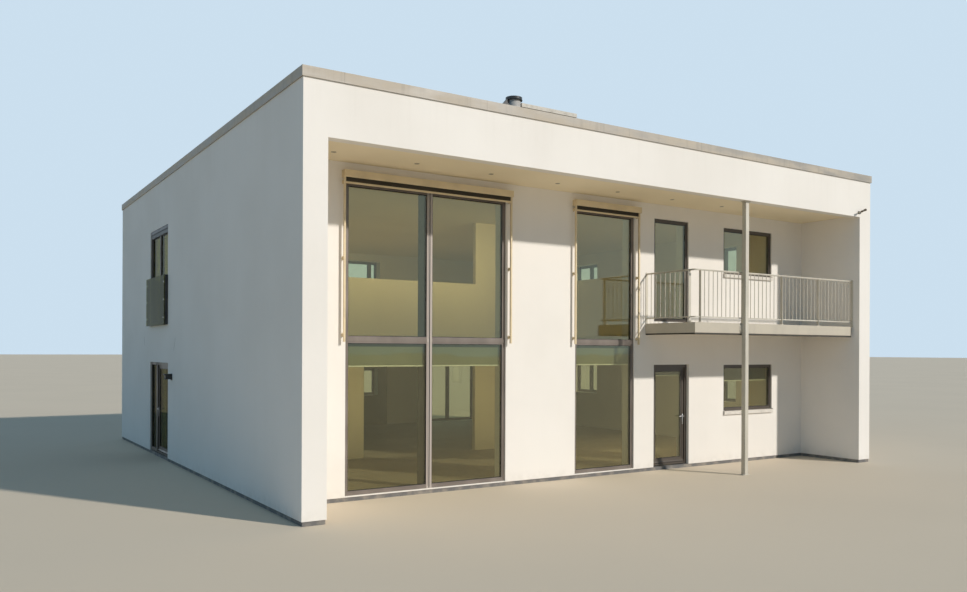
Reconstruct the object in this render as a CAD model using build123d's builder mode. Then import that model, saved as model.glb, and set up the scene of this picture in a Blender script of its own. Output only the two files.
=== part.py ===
from build123d import *
import os

# Modern detached house: two storeys, flat roof, a deep recess across the front with a
# steel balcony in it. Millimetres, +Z up, the front faces -Y. The origin is on the
# ground in the middle of the plan. Places along a wall count from the front left
# corner of the house, heights count from the ground.

# Outline
house_width = 13755
house_depth = 14020
plinth_height = 70
plinth_setback = 15

# Walls
left_wall_thickness = 384
right_wall_thickness = 403
front_wall_thickness = 365
back_wall_thickness = 380

# Recess across the front
recess_depth = 1551
fascia_thickness = 200
fascia_drip = 41
soffit_height = 5676

# Floors and roof
floor_finish = 90
upper_floor_top = 3121
upper_floor_thickness = 250
roof_thickness = 300
parapet_upstand = 494
void_from_right = 5252
void_back = 5960
parapet_wall_height = 1050
parapet_wall_thickness = 120
gallery_pier_width = 1390
ground_opening_left = 3727

# Metal capping on the parapet
capping_height = 144
capping_overhang = 22
capping_drip = 12
capping_fall = 10

# Window frames and glazing
frame_depth = 80
frame_setback = 30
stile = 62
coupled_stile = 48
gable_far_stile = 85
gable_head_rail = 180
rail = 70
cased_head = 142
meeting_bar = 118
frame_step = 8
frame_step_width = 30
glass_rebate = 12
groove_depth = 30
seat_gap = 0.3
coupling_gap = 20
sill_projection = 40
sill_height = 80
sill_fall = 6

# Front openings: the piers from the left corner, and distances from the right side wall
living_pier = 1344
stair_pier = 1672
stair_width = 1580
door_pier = 569
door_from_right = 4937
patio_door_width = 1058
patio_door_setback = 70
balcony_door_width = 1031
kitchen_from_right = 1093
kitchen_width = 1675
balcony_window_from_right = 1120
balcony_window_width = 1663
tall_transom = 2714
patio_door_head = 2251
balcony_door_step = 54
balcony_door_drop = 306
lower_sill = 1187
small_window_height = 1050
upper_sill_rise = 1181
balcony_window_drop = 327

# Openings in the gable and the plain sides
gable_place = 8416
gable_bar = 907
gable_sill = 3100
gable_drop = 286
side_door_place = 8360
side_door_width = 1905
side_door_head = 2230
side_leaf_width = 1260
side_light_width = 1300
right_light_places = (4200, 9800)
back_light_place = 2250
landing_left = 5850
landing_right = 7850
landing_bar = 7600
landing_drop = 236
rear_window_left = 7290
rear_window_right = 7790
rear_window_sill = 1060
rear_window_head = 1940
garden_window_left = 9600
garden_window_right = 11640

# Doors
door_gap = 6
door_lap = 10
door_stop = 22
threshold = 30
leaf_stile = 95
leaf_rail = 120
knuckle_offset = 10
knuckle_length = 60
knuckle_plate = 4
knuckle_reach = 32
hinge_heights = (250, 1180, 1940)
handle_height = 1050
handle_rise = 70
handle_grip = 130
handle_radius = 10
handle_plate_width = 34
handle_plate_height = 220
handle_plate_thickness = 8
handle_standoff = 44

# Awnings over the tall windows
cassette_depth = 135
cassette_height = 116
cassette_radius = 14
cassette_drop = 261
cassette_lap = 25
guide_size = 32
guide_lap = 41
guide_out = 63
guide_slot = 12
guide_slot_depth = 14
guide_bottom = 2678
bracket_rises = (112, 1392, 2660)
bracket_height = 44
bracket_width = 22
bar_height = 33
bar_depth = 24
bar_drop = 71
bar_radius = 6
slot_clearance = 3
slot_height = 30

# Blinds behind the lower panes
blind_thickness = 4
blind_hem_height = 26
blind_hem_depth = 14
blind_side_gap = 14
tall_blind_bottom = 2250
kitchen_blind_bottom = 1859
door_blind_bottom = 2003
door_blind_lap = 12

# Balcony
balcony_from_right = 5187
balcony_end_gap = 60
balcony_front = 160
balcony_thickness = 209
balcony_edge_break = 6

# Railing
handrail_rise = 1063
handrail_radius = 12.5
handrail_corner = 60
railing_inset = 30
bottom_rail_up = 98
bottom_rail_height = 24
bottom_rail_depth = 12
top_flat_height = 8
top_flat_depth = 30
foot_plate = 8
foot_plate_width = 80
post_depth = 56
post_thickness = 12
baluster_radius = 8
baluster_sides = 8
corner_bay = 142
front_bays = 4
balusters_per_bay = 9
side_balusters = 8

# Steel column in front of the balcony
column_size = 100
column_from_right = 3820
column_plate = 12
column_plate_margin = 40
column_corner = 8

# Glass guard outside the upper gable window
guard_near_lap = 26
guard_far_lap = 35
guard_height = 1132
guard_standoff = 72
guard_plate = 10
guard_glass = 17

# Roof box, vent and small lamps
roof_box_left = 4480
roof_box_right = 5718
roof_box_front = 900
roof_box_depth = 900
roof_box_height = 1041
roof_box_lid = 60
roof_box_lid_overhang = 25
vent_place = 4300
vent_row = 900
vent_radius = 120
vent_cap_radius = 150
vent_cap_height = 78
vent_height = 1128
vent_cap_crown = 24
vent_flap_reach = 270
vent_flap_drop = 120
vent_flap_width = 60
vent_flap_lip = 12
downlight_first = 880
downlight_pitch = 1495
downlight_count = 7
downlight_row = 980
downlight_radius = 45
downlight_height = 6
lamp_from_door = 360
lamp_bottom = 1850
lamp_height = 145
lamp_projection = 170
lamp_half_width = 60
lamp_plate = 12
lamp_lip = 18
lamp_hood_radius = 300
floodlight_from_right = 449
floodlight_rise = 100
floodlight_plate = 70
floodlight_arm = 45
floodlight_head_radius = 27
floodlight_head_lengths = (135, 185)
floodlight_aims = ((-2, -1, -0.4), (2, -1, 1))

left_x = -house_width / 2
front_y = -house_depth / 2
inner_left = left_x + left_wall_thickness
inner_right = -left_x - right_wall_thickness
recess_y = front_y + recess_depth
inner_front = recess_y + front_wall_thickness
inner_back = -front_y - back_wall_thickness
right_end = house_width - right_wall_thickness
upper_floor_bottom = upper_floor_top - upper_floor_thickness
roof_top = soffit_height + roof_thickness
wall_top = roof_top + parapet_upstand
fascia_bottom = soffit_height - fascia_drip
cassette_bottom = soffit_height - cassette_drop
balcony_top = upper_floor_top
handrail_top = balcony_top + handrail_rise
void_right = right_end - void_from_right
balcony_left = right_end - balcony_from_right
column_left = right_end - column_from_right
guide_line = guide_out + guide_size / 2
upper_sill = upper_floor_top + upper_sill_rise
low_corner = (Align.MIN, Align.MIN)


class Wall:
    """The outer face of a wall: its left or front end at the ground, the way it runs
    and the way into the house."""

    def __init__(self, origin, along, inward):
        self.origin = Vector(origin)
        self.along = Vector(along)
        self.inward = Vector(inward)

    def plane(self, depth=0):
        normal = self.along.cross(Vector(0, 0, 1))
        return Plane(self.origin + self.inward * depth, self.along, normal)

    def point(self, place, depth, height):
        return self.origin + self.along * place + self.inward * depth + Vector(0, 0, height)


class Opening:
    """A hole in a wall with its frame: left and right ends, sill, head, the widths of
    the outer members and the centres of the bars between its panes."""

    def __init__(self, left, right, sill, head, stiles=(stile, stile), rails=(rail, rail),
                 bars=(), transoms=()):
        self.left = left
        self.right = right
        self.sill = sill
        self.head = head
        self.stiles = stiles
        self.rails = rails
        self.bars = bars
        self.transoms = transoms

    def lights(self):
        columns = spans(self.left + self.stiles[0], self.right - self.stiles[1], self.bars)
        rows = spans(self.sill + self.rails[0], self.head - self.rails[1], self.transoms)
        return [(a, b, c, d) for a, b in columns for c, d in rows]


def spans(start, end, centres):
    # the clear stretches between start and end, either side of each bar
    edges = [start]
    for centre in centres:
        edges += [centre - meeting_bar / 2, centre + meeting_bar / 2]
    edges.append(end)
    return list(zip(edges[::2], edges[1::2]))


def panel(left, right, bottom, top, grow=0, mode=Mode.ADD):
    # a rectangle in the current sketch, given by its edges
    with Locations((left - grow, bottom - grow)):
        Rectangle(right - left + 2 * grow, top - bottom + 2 * grow, align=low_corner, mode=mode)


def across(wall, place, height):
    # a plane square to a wall: X out of the wall, Y up
    return Plane(wall.point(place, 0, height), (0, -1, 0), (-1, 0, 0))


def save(part, label):
    part.label = label
    export_step(part, f"parts/{label}.step")


def block(label, x_range, y_range, z_range):
    with BuildPart() as slab:
        with BuildSketch(Plane.XY.offset(z_range[0])):
            panel(*x_range, *y_range)
        extrude(amount=z_range[1] - z_range[0])
    save(slab.part, label)


def wall_piece(label, wall, thickness, areas, holes=()):
    # areas are the rectangles of masonry, holes the openings cut through them
    with BuildPart() as piece:
        with BuildSketch(wall.plane()):
            for area in areas:
                panel(*area)
            for hole in holes:
                panel(hole.left, hole.right, hole.sill, hole.head, mode=Mode.SUBTRACT)
        extrude(amount=thickness, dir=wall.inward)
    save(piece.part, label)


def window_frames(label, wall, openings, setback=frame_setback):
    # each frame: outer members, a shallow step round every pane and a glazing groove
    groove_face = setback + (frame_depth - groove_depth) / 2
    with BuildPart() as frames:
        for opening in openings:
            with BuildSketch(wall.plane(setback)):
                panel(opening.left, opening.right, opening.sill, opening.head)
                for light in opening.lights():
                    panel(*light, mode=Mode.SUBTRACT)
            extrude(amount=frame_depth, dir=wall.inward)
            with BuildSketch(wall.plane(setback)):
                for light in opening.lights():
                    panel(*light, grow=frame_step_width)
            extrude(amount=frame_step, dir=wall.inward, mode=Mode.SUBTRACT)
            with BuildSketch(wall.plane(groove_face)):
                for light in opening.lights():
                    panel(*light, grow=glass_rebate)
            extrude(amount=groove_depth, dir=wall.inward, mode=Mode.SUBTRACT)
    save(frames.part, label)


def window_glass(label, wall, openings, setback=frame_setback):
    # double glazing units, clear of the groove by the seat gap on every side
    glass_face = setback + (frame_depth - groove_depth) / 2 + seat_gap
    with BuildPart() as panes:
        with BuildSketch(wall.plane(glass_face)):
            for opening in openings:
                for light in opening.lights():
                    panel(*light, grow=glass_rebate - seat_gap)
        extrude(amount=groove_depth - 2 * seat_gap, dir=wall.inward)
    save(panes.part, label)


# The outer faces of the house
front_face = Wall((left_x, front_y, 0), (1, 0, 0), (0, 1, 0))
recess_face = Wall((left_x, recess_y, 0), (1, 0, 0), (0, 1, 0))
left_face = Wall((left_x, front_y, 0), (0, 1, 0), (1, 0, 0))
right_face = Wall((-left_x, front_y, 0), (0, 1, 0), (-1, 0, 0))
back_face = Wall((left_x, -front_y, 0), (1, 0, 0), (0, -1, 0))

# Openings in the recessed front wall
tall_head = cassette_bottom + cassette_lap
door_left = right_end - door_from_right
stair_right = door_left - door_pier
stair_left = stair_right - stair_width
living_end = stair_left - stair_pier
coupling = (living_pier + living_end) / 2
living_left = Opening(living_pier, coupling - coupling_gap / 2, floor_finish, tall_head,
                      (stile, coupled_stile), (rail, cased_head), transoms=(tall_transom,))
living_right = Opening(coupling + coupling_gap / 2, living_end, floor_finish, tall_head,
                       (coupled_stile, stile), (rail, cased_head), transoms=(tall_transom,))
living_window = Opening(living_left.left, living_right.right, floor_finish, tall_head)
stair_window = Opening(stair_left, stair_right, floor_finish, tall_head,
                       rails=(rail, cased_head), transoms=(tall_transom,))
patio_door = Opening(door_left, door_left + patio_door_width, floor_finish, patio_door_head)
balcony_door = Opening(door_left, door_left + balcony_door_width,
                       balcony_top + balcony_door_step, soffit_height - balcony_door_drop)


def two_light(right, width, sill, head):
    # a window of two equal lights, given by its right end
    return Opening(right - width, right, sill, head, bars=(right - width / 2,))


kitchen_window = two_light(right_end - kitchen_from_right, kitchen_width,
                           lower_sill, lower_sill + small_window_height)
balcony_window = two_light(right_end - balcony_window_from_right, balcony_window_width,
                           upper_sill, soffit_height - balcony_window_drop)

# Openings in the gable and the plain sides
side_doorway = Opening(side_door_place, side_door_place + side_door_width,
                       floor_finish, side_door_head)
gable_window = Opening(gable_place, side_doorway.right, gable_sill,
                       soffit_height - gable_drop, (stile, gable_far_stile),
                       (rail, gable_head_rail), bars=(gable_place + gable_bar,))
side_mullion = side_door_place + side_leaf_width
side_fixed_light = Opening(side_mullion + meeting_bar / 2 - stile, side_doorway.right,
                           side_doorway.sill, side_doorway.head, rails=(rail, stile))
landing_window = Opening(landing_left, landing_right, upper_sill, soffit_height - landing_drop,
                         bars=(landing_bar,))
rear_window = Opening(rear_window_left, rear_window_right, rear_window_sill, rear_window_head)
garden_window = Opening(garden_window_left, garden_window_right, floor_finish, patio_door_head,
                        bars=((garden_window_left + garden_window_right) / 2,))
far_lights, plain_rear_lights = [[two_light(place + side_light_width / 2, side_light_width,
                                            sill, sill + small_window_height)
                                  for sill in (lower_sill, upper_sill) for place in places]
                                 for places in (right_light_places, (back_light_place,))]
rear_lights = plain_rear_lights + [landing_window, rear_window, garden_window]


def plinth():
    # dark base set back under the rendered walls, with the two legs of the recess
    with BuildPart() as base:
        with BuildSketch():
            panel(left_x + plinth_setback, -left_x - plinth_setback,
                  recess_y + plinth_setback, -front_y - plinth_setback)
            panel(left_x + plinth_setback, inner_left - plinth_setback,
                  front_y + plinth_setback, inner_front)
            panel(inner_right + plinth_setback, -left_x - plinth_setback,
                  front_y + plinth_setback, inner_front)
        extrude(amount=plinth_height)
    save(base.part, "plinth")


def floors():
    block("ground_floor", (inner_left, inner_right), (inner_front, inner_back),
          (plinth_height, floor_finish))
    # the upper floor leaves the room behind the tall windows open to the roof
    with BuildPart() as upper:
        with BuildSketch(Plane.XY.offset(upper_floor_bottom)):
            panel(inner_left, inner_right, inner_front, inner_back)
            panel(inner_left, left_x + void_right, inner_front, front_y + void_back,
                  mode=Mode.SUBTRACT)
        extrude(amount=upper_floor_thickness)
    save(upper.part, "upper_floor")
    block("roof_slab", (inner_left, inner_right), (front_y + fascia_thickness, inner_back),
          (soffit_height, roof_top))


def gallery_parapet():
    # low wall round the open room, rising to the ceiling as a pier beside the landing
    wall_front = front_y + void_back
    edge = left_x + void_right
    with BuildPart() as low_wall:
        with BuildSketch(Plane.XY.offset(upper_floor_top)):
            panel(inner_left, edge + parapet_wall_thickness,
                  wall_front, wall_front + parapet_wall_thickness)
            panel(edge, edge + parapet_wall_thickness, inner_front, wall_front)
        extrude(amount=parapet_wall_height)
        with BuildSketch(Plane.XY.offset(upper_floor_top)):
            panel(edge - gallery_pier_width, edge,
                  wall_front, wall_front + parapet_wall_thickness)
        extrude(amount=soffit_height - upper_floor_top)
    save(low_wall.part, "gallery_parapet")


def ground_wall():
    # the wall under the gallery's edge, with a wide opening between its two ends
    with BuildPart() as ends:
        with BuildSketch(Plane.XY.offset(floor_finish)):
            for left, right in ((inner_left, left_x + ground_opening_left),
                                (left_x + void_right - gallery_pier_width, left_x + void_right)):
                panel(left, right, front_y + void_back,
                      front_y + void_back + parapet_wall_thickness)
        extrude(amount=upper_floor_bottom - floor_finish)
    save(ends.part, "ground_wall")


def window_post():
    # full-height post behind the coupled bars of the living room window
    half = coupling_gap / 2 + coupled_stile
    with BuildPart() as post:
        with BuildSketch(recess_face.plane(frame_setback + frame_depth)):
            panel(coupling - half, coupling + half, floor_finish, tall_head)
        extrude(amount=front_wall_thickness - frame_setback - frame_depth, dir=(0, 1, 0))
    save(post.part, "window_post")


def outer_walls():
    wall_piece("left_wall_front", left_face, left_wall_thickness,
               [(0, side_doorway.left, plinth_height, wall_top)])
    wall_piece("left_wall_back", left_face, left_wall_thickness,
               [(side_doorway.right, house_depth, plinth_height, wall_top)])
    wall_piece("left_wall_over_door", left_face, left_wall_thickness,
               [(side_doorway.left, side_doorway.right, side_doorway.head, wall_top)],
               [gable_window])
    wall_piece("right_wall", right_face, right_wall_thickness,
               [(0, house_depth, plinth_height, wall_top)], far_lights)
    wall_piece("back_wall", back_face, back_wall_thickness,
               [(left_wall_thickness, right_end, plinth_height, wall_top)], rear_lights)


def recessed_walls():
    middle = balcony_door.sill
    wall_piece("front_wall_left", recess_face, front_wall_thickness,
               [(left_wall_thickness, door_left, plinth_height, soffit_height)],
               [living_window, stair_window])
    wall_piece("front_wall_over_doors", recess_face, front_wall_thickness,
               [(door_left, patio_door.right, patio_door.head, middle),
                (door_left, balcony_door.right, balcony_door.head, soffit_height)])
    wall_piece("front_wall_lower_right", recess_face, front_wall_thickness,
               [(patio_door.right, right_end, plinth_height, middle)], [kitchen_window])
    wall_piece("front_wall_upper_right", recess_face, front_wall_thickness,
               [(balcony_door.right, right_end, middle, soffit_height)], [balcony_window])


def fascia():
    # the beam over the recess hangs a little below the soffit as a drip
    wall_piece("fascia_beam", front_face, fascia_thickness,
               [(left_wall_thickness, right_end, fascia_bottom, wall_top)])


def plan(wall, corners):
    # corners given along and into a wall, as X and Y of the whole house
    points = [wall.point(place, depth, 0) for place, depth in corners]
    return [(point.X, point.Y) for point in points]


def capping(label, wall, length, width, start_width, end_width):
    # folded metal cap: sloping top, upright faces and drip lips, mitred at both corners
    over = capping_overhang
    sideways = wall.inward.cross(Vector(0, 0, 1))
    with BuildPart() as cap:
        with BuildSketch(Plane(wall.point(-over, 0, wall_top), wall.inward, sideways)):
            with BuildLine():
                Polyline((-over, -capping_drip), (0, -capping_drip), (0, 0), (width, 0),
                         (width, -capping_drip), (width + over, -capping_drip),
                         (width + over, capping_height - capping_fall),
                         (-over, capping_height), close=True)
            make_face()
        extrude(amount=length + 2 * over, dir=wall.along)
        with BuildSketch(Plane.XY.offset(wall_top - capping_drip)):
            with BuildLine():
                Polyline(plan(wall, [(-over, -over), (length + over, -over),
                                     (length - end_width - over, width + over),
                                     (start_width + over, width + over)]), close=True)
            make_face()
        extrude(amount=capping_height + capping_drip, dir=(0, 0, 1), mode=Mode.INTERSECT)
        # the inner lip stops at the walls that it meets
        for near, far in ((0, start_width), (length - end_width, length)):
            with BuildSketch(Plane.XY.offset(wall_top - capping_drip)):
                with BuildLine():
                    Polyline(plan(wall, [(near, 0), (far, 0), (far, width + over),
                                         (near, width + over)]), close=True)
                make_face()
            extrude(amount=capping_drip, dir=(0, 0, 1), mode=Mode.SUBTRACT)
    save(cap.part, label)


def cappings():
    capping("capping_front", front_face, house_width, fascia_thickness,
            left_wall_thickness, right_wall_thickness)
    capping("capping_back", back_face, house_width, back_wall_thickness,
            left_wall_thickness, right_wall_thickness)
    capping("capping_left", left_face, house_depth, left_wall_thickness,
            fascia_thickness, back_wall_thickness)
    capping("capping_right", right_face, house_depth, right_wall_thickness,
            fascia_thickness, back_wall_thickness)


def windows():
    # the pane beside the garden door sits in the door's own frame
    front = [living_left, living_right, stair_window, balcony_door, balcony_window, kitchen_window]
    for name, wall, openings, others in (("front_window", recess_face, front, []),
                                         ("gable_window", left_face, [gable_window],
                                          [side_fixed_light]),
                                         ("right_window", right_face, far_lights, []),
                                         ("back_window", back_face, rear_lights, [])):
        window_frames(f"{name}_frames", wall, openings)
        window_glass(f"{name}_glass", wall, openings + others)


def window_sills():
    # sloping pressed sills under the two small front windows
    with BuildPart() as sills:
        for hole in (kitchen_window, balcony_window):
            with BuildSketch(across(recess_face, hole.left, hole.sill)):
                with BuildLine():
                    Polyline((0, 0), (sill_projection, -sill_fall),
                             (sill_projection, -sill_height), (0, -sill_height), close=True)
                make_face()
            extrude(amount=hole.right - hole.left, dir=(1, 0, 0))
    save(sills.part, "window_sills")


def leaf_area(doorway, right):
    # the leaf laps the frame's stop all round: left, right, bottom and top of the leaf
    return (doorway.left + stile - door_lap, right + door_lap,
            doorway.sill + threshold - door_lap, doorway.head - stile + door_lap)


def hinge_knuckles(wall, inner, axis, side, lift):
    # one half of each hinge: a barrel on the hinge line and a plate on the inner face
    reach = sorted((axis, axis + side * knuckle_reach))
    with BuildPart() as halves:
        for height in hinge_heights:
            bottom = height + lift
            centre = wall.point(axis, inner + knuckle_offset, bottom)
            with BuildSketch(Plane(centre, (1, 0, 0))):
                Circle(knuckle_offset - seat_gap)
            extrude(amount=knuckle_length)
            with BuildSketch(wall.plane(inner)):
                panel(*reach, bottom, bottom + knuckle_length)
            extrude(amount=knuckle_plate, dir=wall.inward)
    return halves.part


def door(name, wall, doorway, setback, right, fixed_light=None):
    # an inward opening glazed door hung on the left: right is where the leaf's clear
    # opening ends, fixed_light the pane beside it
    area = leaf_area(doorway, right)
    inner = setback + frame_depth
    stop = setback + door_stop
    axis = area[0] - door_gap / 2
    frame_halves = hinge_knuckles(wall, inner, axis, -1, 0)
    leaf_halves = hinge_knuckles(wall, inner, axis, 1, knuckle_length + seat_gap)
    with BuildPart() as frame:
        with BuildSketch(wall.plane(setback)):
            panel(doorway.left, doorway.right, doorway.sill, doorway.head)
            panel(*area, grow=-door_lap, mode=Mode.SUBTRACT)
            if fixed_light:
                panel(*fixed_light, mode=Mode.SUBTRACT)
        extrude(amount=frame_depth, dir=wall.inward)
        with BuildSketch(wall.plane(stop)):
            panel(*area, grow=door_gap)
        extrude(amount=inner - stop, dir=wall.inward, mode=Mode.SUBTRACT)
        if fixed_light:
            with BuildSketch(wall.plane(setback + (frame_depth - groove_depth) / 2)):
                panel(*fixed_light, grow=glass_rebate)
            extrude(amount=groove_depth, dir=wall.inward, mode=Mode.SUBTRACT)
        add(frame_halves)
    save(frame.part, f"{name}_frame")

    face = stop + door_gap
    light = (area[0] + leaf_stile, area[1] - leaf_stile, area[2] + leaf_rail, area[3] - leaf_stile)
    groove = face + (inner - face - groove_depth) / 2
    with BuildPart() as leaf:
        with BuildSketch(wall.plane(face)):
            panel(*area)
            panel(*light, mode=Mode.SUBTRACT)
        extrude(amount=inner - face, dir=wall.inward)
        with BuildSketch(wall.plane(face)):
            panel(*light, grow=frame_step_width)
        extrude(amount=frame_step, dir=wall.inward, mode=Mode.SUBTRACT)
        with BuildSketch(wall.plane(groove)):
            panel(*light, grow=glass_rebate)
        extrude(amount=groove_depth, dir=wall.inward, mode=Mode.SUBTRACT)
        add(leaf_halves)
    save(leaf.part, f"{name}_leaf")

    with BuildPart() as pane:
        with BuildSketch(wall.plane(groove + seat_gap)):
            panel(*light, grow=glass_rebate - seat_gap)
        extrude(amount=groove_depth - 2 * seat_gap, dir=wall.inward)
    save(pane.part, f"{name}_glass")
    door_handles(name, wall, area[1] - leaf_stile / 2, face, inner)
    return light


def door_handles(name, wall, place, outer, inner):
    # a lever on a long plate on each side of the leaf, pointing to the hinges
    with BuildPart() as handles:
        for depth, way in ((outer, -1), (inner, 1)):
            out = wall.inward * way
            with BuildSketch(wall.plane(depth)):
                with Locations((place, handle_height)):
                    Rectangle(handle_plate_width, handle_plate_height)
            extrude(amount=handle_plate_thickness, dir=out)
            with BuildSketch(wall.plane(depth)):
                with Locations((place, handle_height + handle_rise)):
                    Circle(handle_radius)
            extrude(amount=handle_standoff, dir=out)
            grip = wall.point(place + handle_radius, depth + way * handle_standoff,
                              handle_height + handle_rise)
            with BuildSketch(Plane(grip, (0, 0, 1), wall.along)):
                Circle(handle_radius)
            extrude(amount=handle_grip, dir=-wall.along)
    save(handles.part, f"{name}_handles")


def blind(setback, left, right, bottom, top):
    # a blind's sheet and its hem bar, against the inner face of a front frame
    inner = recess_face.plane(setback + frame_depth + seat_gap)
    with BuildPart() as hung:
        for height, depth in ((top - bottom, blind_thickness),
                              (blind_hem_height, blind_hem_depth)):
            with BuildSketch(inner):
                panel(left, right, bottom, bottom + height)
            extrude(amount=depth, dir=(0, 1, 0))
    return hung.part


def doors():
    light = door("patio_door", recess_face, patio_door, patio_door_setback,
                 patio_door.right - stile)
    # a short blind hangs on the inside of the leaf
    with BuildPart() as hung:
        add(blind(patio_door_setback, light[0] - door_blind_lap, light[1] + door_blind_lap,
                  door_blind_bottom, light[3] + door_blind_lap))
    save(hung.part, "patio_door_blind")
    fixed = side_fixed_light.lights()[0]
    door("side_door", left_face, side_doorway, frame_setback,
         side_mullion - meeting_bar / 2, fixed)


def roller_blinds():
    # one behind each lower pane, hung from the bar above it
    with BuildPart() as blinds:
        for hole, bottom in ((living_left, tall_blind_bottom), (living_right, tall_blind_bottom),
                             (stair_window, tall_blind_bottom),
                             (kitchen_window, kitchen_blind_bottom)):
            for left, right, low, high in hole.lights():
                if low > hole.sill + hole.rails[0]:
                    continue
                add(blind(frame_setback, left + blind_side_gap, right - blind_side_gap,
                          bottom, high + rail / 2))
    save(blinds.part, "roller_blinds")


def awnings():
    # cassette box on the wall with a slot under it, and the screen's end bar below
    wall = recess_face
    with BuildPart() as cassettes:
        for hole in (living_window, stair_window):
            left = hole.left - guide_lap - guide_size
            right = hole.right + guide_lap + guide_size
            with BuildSketch(across(wall, left, cassette_bottom)):
                panel(0, cassette_depth, 0, cassette_height)
                corners = vertices().group_by(Axis.Y)[0]
                fillet(corners, cassette_radius)
                with Locations((guide_line, 0)):
                    Rectangle(bar_depth + 2 * slot_clearance, 2 * slot_height, mode=Mode.SUBTRACT)
            extrude(amount=right - left, dir=(1, 0, 0))
            left = hole.left - guide_lap + seat_gap
            with BuildSketch(across(wall, left, cassette_bottom - bar_drop)):
                with Locations((guide_line, -bar_height / 2)):
                    RectangleRounded(bar_depth, bar_height, bar_radius)
            extrude(amount=hole.right + guide_lap - seat_gap - left, dir=(1, 0, 0))
    save(cassettes.part, "awning_cassettes")

    # a slotted rail down each side, held off the wall on small brackets
    with BuildPart() as guides:
        for hole in (living_window, stair_window):
            for place, side in ((hole.left - guide_lap - guide_size / 2, 1),
                                (hole.right + guide_lap + guide_size / 2, -1)):
                with BuildSketch(Plane(wall.point(place, -guide_line, guide_bottom), (1, 0, 0))):
                    Rectangle(guide_size, guide_size)
                    with Locations((side * guide_size / 2, 0)):
                        Rectangle(2 * guide_slot_depth, guide_slot, mode=Mode.SUBTRACT)
                extrude(amount=cassette_bottom - guide_bottom)
                for rise in bracket_rises:
                    with BuildSketch(wall.plane()):
                        with Locations((place, guide_bottom + rise)):
                            Rectangle(bracket_width, bracket_height)
                    extrude(amount=guide_out, dir=(0, -1, 0))
    save(guides.part, "awning_guides")


def balcony():
    # steel-edged slab between the recessed wall and the column, its lower edges eased
    left = left_x + balcony_left
    right = inner_right - balcony_end_gap
    with BuildPart() as slab:
        with BuildSketch(Plane.XY.offset(balcony_top - balcony_thickness)):
            panel(left, right, front_y + balcony_front, recess_y)
        extrude(amount=balcony_thickness)
        outer = edges().group_by(Axis.Z)[0].sort_by(Axis.Y)[0]
        chamfer(outer, balcony_edge_break)
    save(slab.part, "balcony_slab")


def rail_run(start, way, length, posts, rods):
    # one straight run: bottom rail, top flat, flat-bar posts on foot plates, round rods
    foot = balcony_top
    under_rail = handrail_top - 2 * handrail_radius - seat_gap
    flat_bottom = under_rail - top_flat_height
    with BuildPart() as run:
        for low, height, depth in ((foot + bottom_rail_up, bottom_rail_height, bottom_rail_depth),
                                   (flat_bottom, top_flat_height, top_flat_depth)):
            with BuildSketch(Plane(start + Vector(0, 0, low), way)):
                with Locations((0, -depth / 2)):
                    Rectangle(length, depth, align=low_corner)
            extrude(amount=height)
        for height, thickness, places in ((under_rail - foot, post_thickness, posts),
                                          (foot_plate, foot_plate_width, posts[:-1])):
            with BuildSketch(Plane(start + Vector(0, 0, foot), way)):
                with Locations([(place, 0) for place in places]):
                    Rectangle(thickness, post_depth)
            extrude(amount=height)
        with BuildSketch(Plane(start + Vector(0, 0, foot + bottom_rail_up), way)):
            with Locations([(place, 0) for place in rods]):
                RegularPolygon(baluster_radius, baluster_sides)
        extrude(amount=flat_bottom - foot - bottom_rail_up)
    return run.part


def between(start, end, count):
    # count places evenly spaced between two posts, the posts left out
    step = (end - start) / (count + 1)
    return [start + step * (i + 1) for i in range(count)]


def railing():
    rail_x = left_x + balcony_left + railing_inset
    rail_y = front_y + balcony_front + railing_inset
    front_length = inner_right - rail_x
    side_length = recess_y - rail_y
    last_post = front_length - post_thickness / 2 - seat_gap
    pitch = (last_post - corner_bay) / front_bays
    posts = [corner_bay + pitch * i for i in range(front_bays + 1)]
    rods = [place for a, b in zip(posts, posts[1:]) for place in between(a, b, balusters_per_bay)]
    corner = Vector(rail_x, rail_y, 0)
    shift = top_flat_depth / 2 + seat_gap
    save(rail_run(corner + Vector(shift, 0, 0), (1, 0, 0), front_length - shift - seat_gap,
                  [place - shift for place in posts], [place - shift for place in rods]),
         "railing_front")
    side_posts = [corner_bay, side_length - post_thickness / 2 - seat_gap]
    save(rail_run(corner, (0, 1, 0), side_length - seat_gap, side_posts,
                  between(*side_posts, side_balusters)), "railing_side")
    height = handrail_top - handrail_radius
    with BuildPart() as tube:
        with BuildLine() as route:
            FilletPolyline((rail_x, recess_y - seat_gap, height), (rail_x, rail_y, height),
                           (inner_right - seat_gap, rail_y, height), radius=handrail_corner)
        with BuildSketch(Plane(route.line @ 0, z_dir=route.line % 0)):
            Circle(handrail_radius)
        sweep()
    save(tube.part, "handrail")


def column():
    # square steel post with a foot and a head plate, against the balcony's front edge
    middle_x = left_x + column_left + column_size / 2
    middle_y = front_y + balcony_front - column_size / 2
    with BuildPart() as post:
        with BuildSketch():
            with Locations((middle_x, middle_y)):
                RectangleRounded(column_size, column_size, column_corner)
        extrude(amount=fascia_bottom)
        for level, height in ((0, column_plate), (fascia_bottom - column_plate, column_plate)):
            with BuildSketch(Plane.XY.offset(level)):
                with Locations((middle_x, middle_y)):
                    Rectangle(column_size + 2 * column_plate_margin, column_size)
            extrude(amount=height)
    save(post.part, "steel_column")


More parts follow.
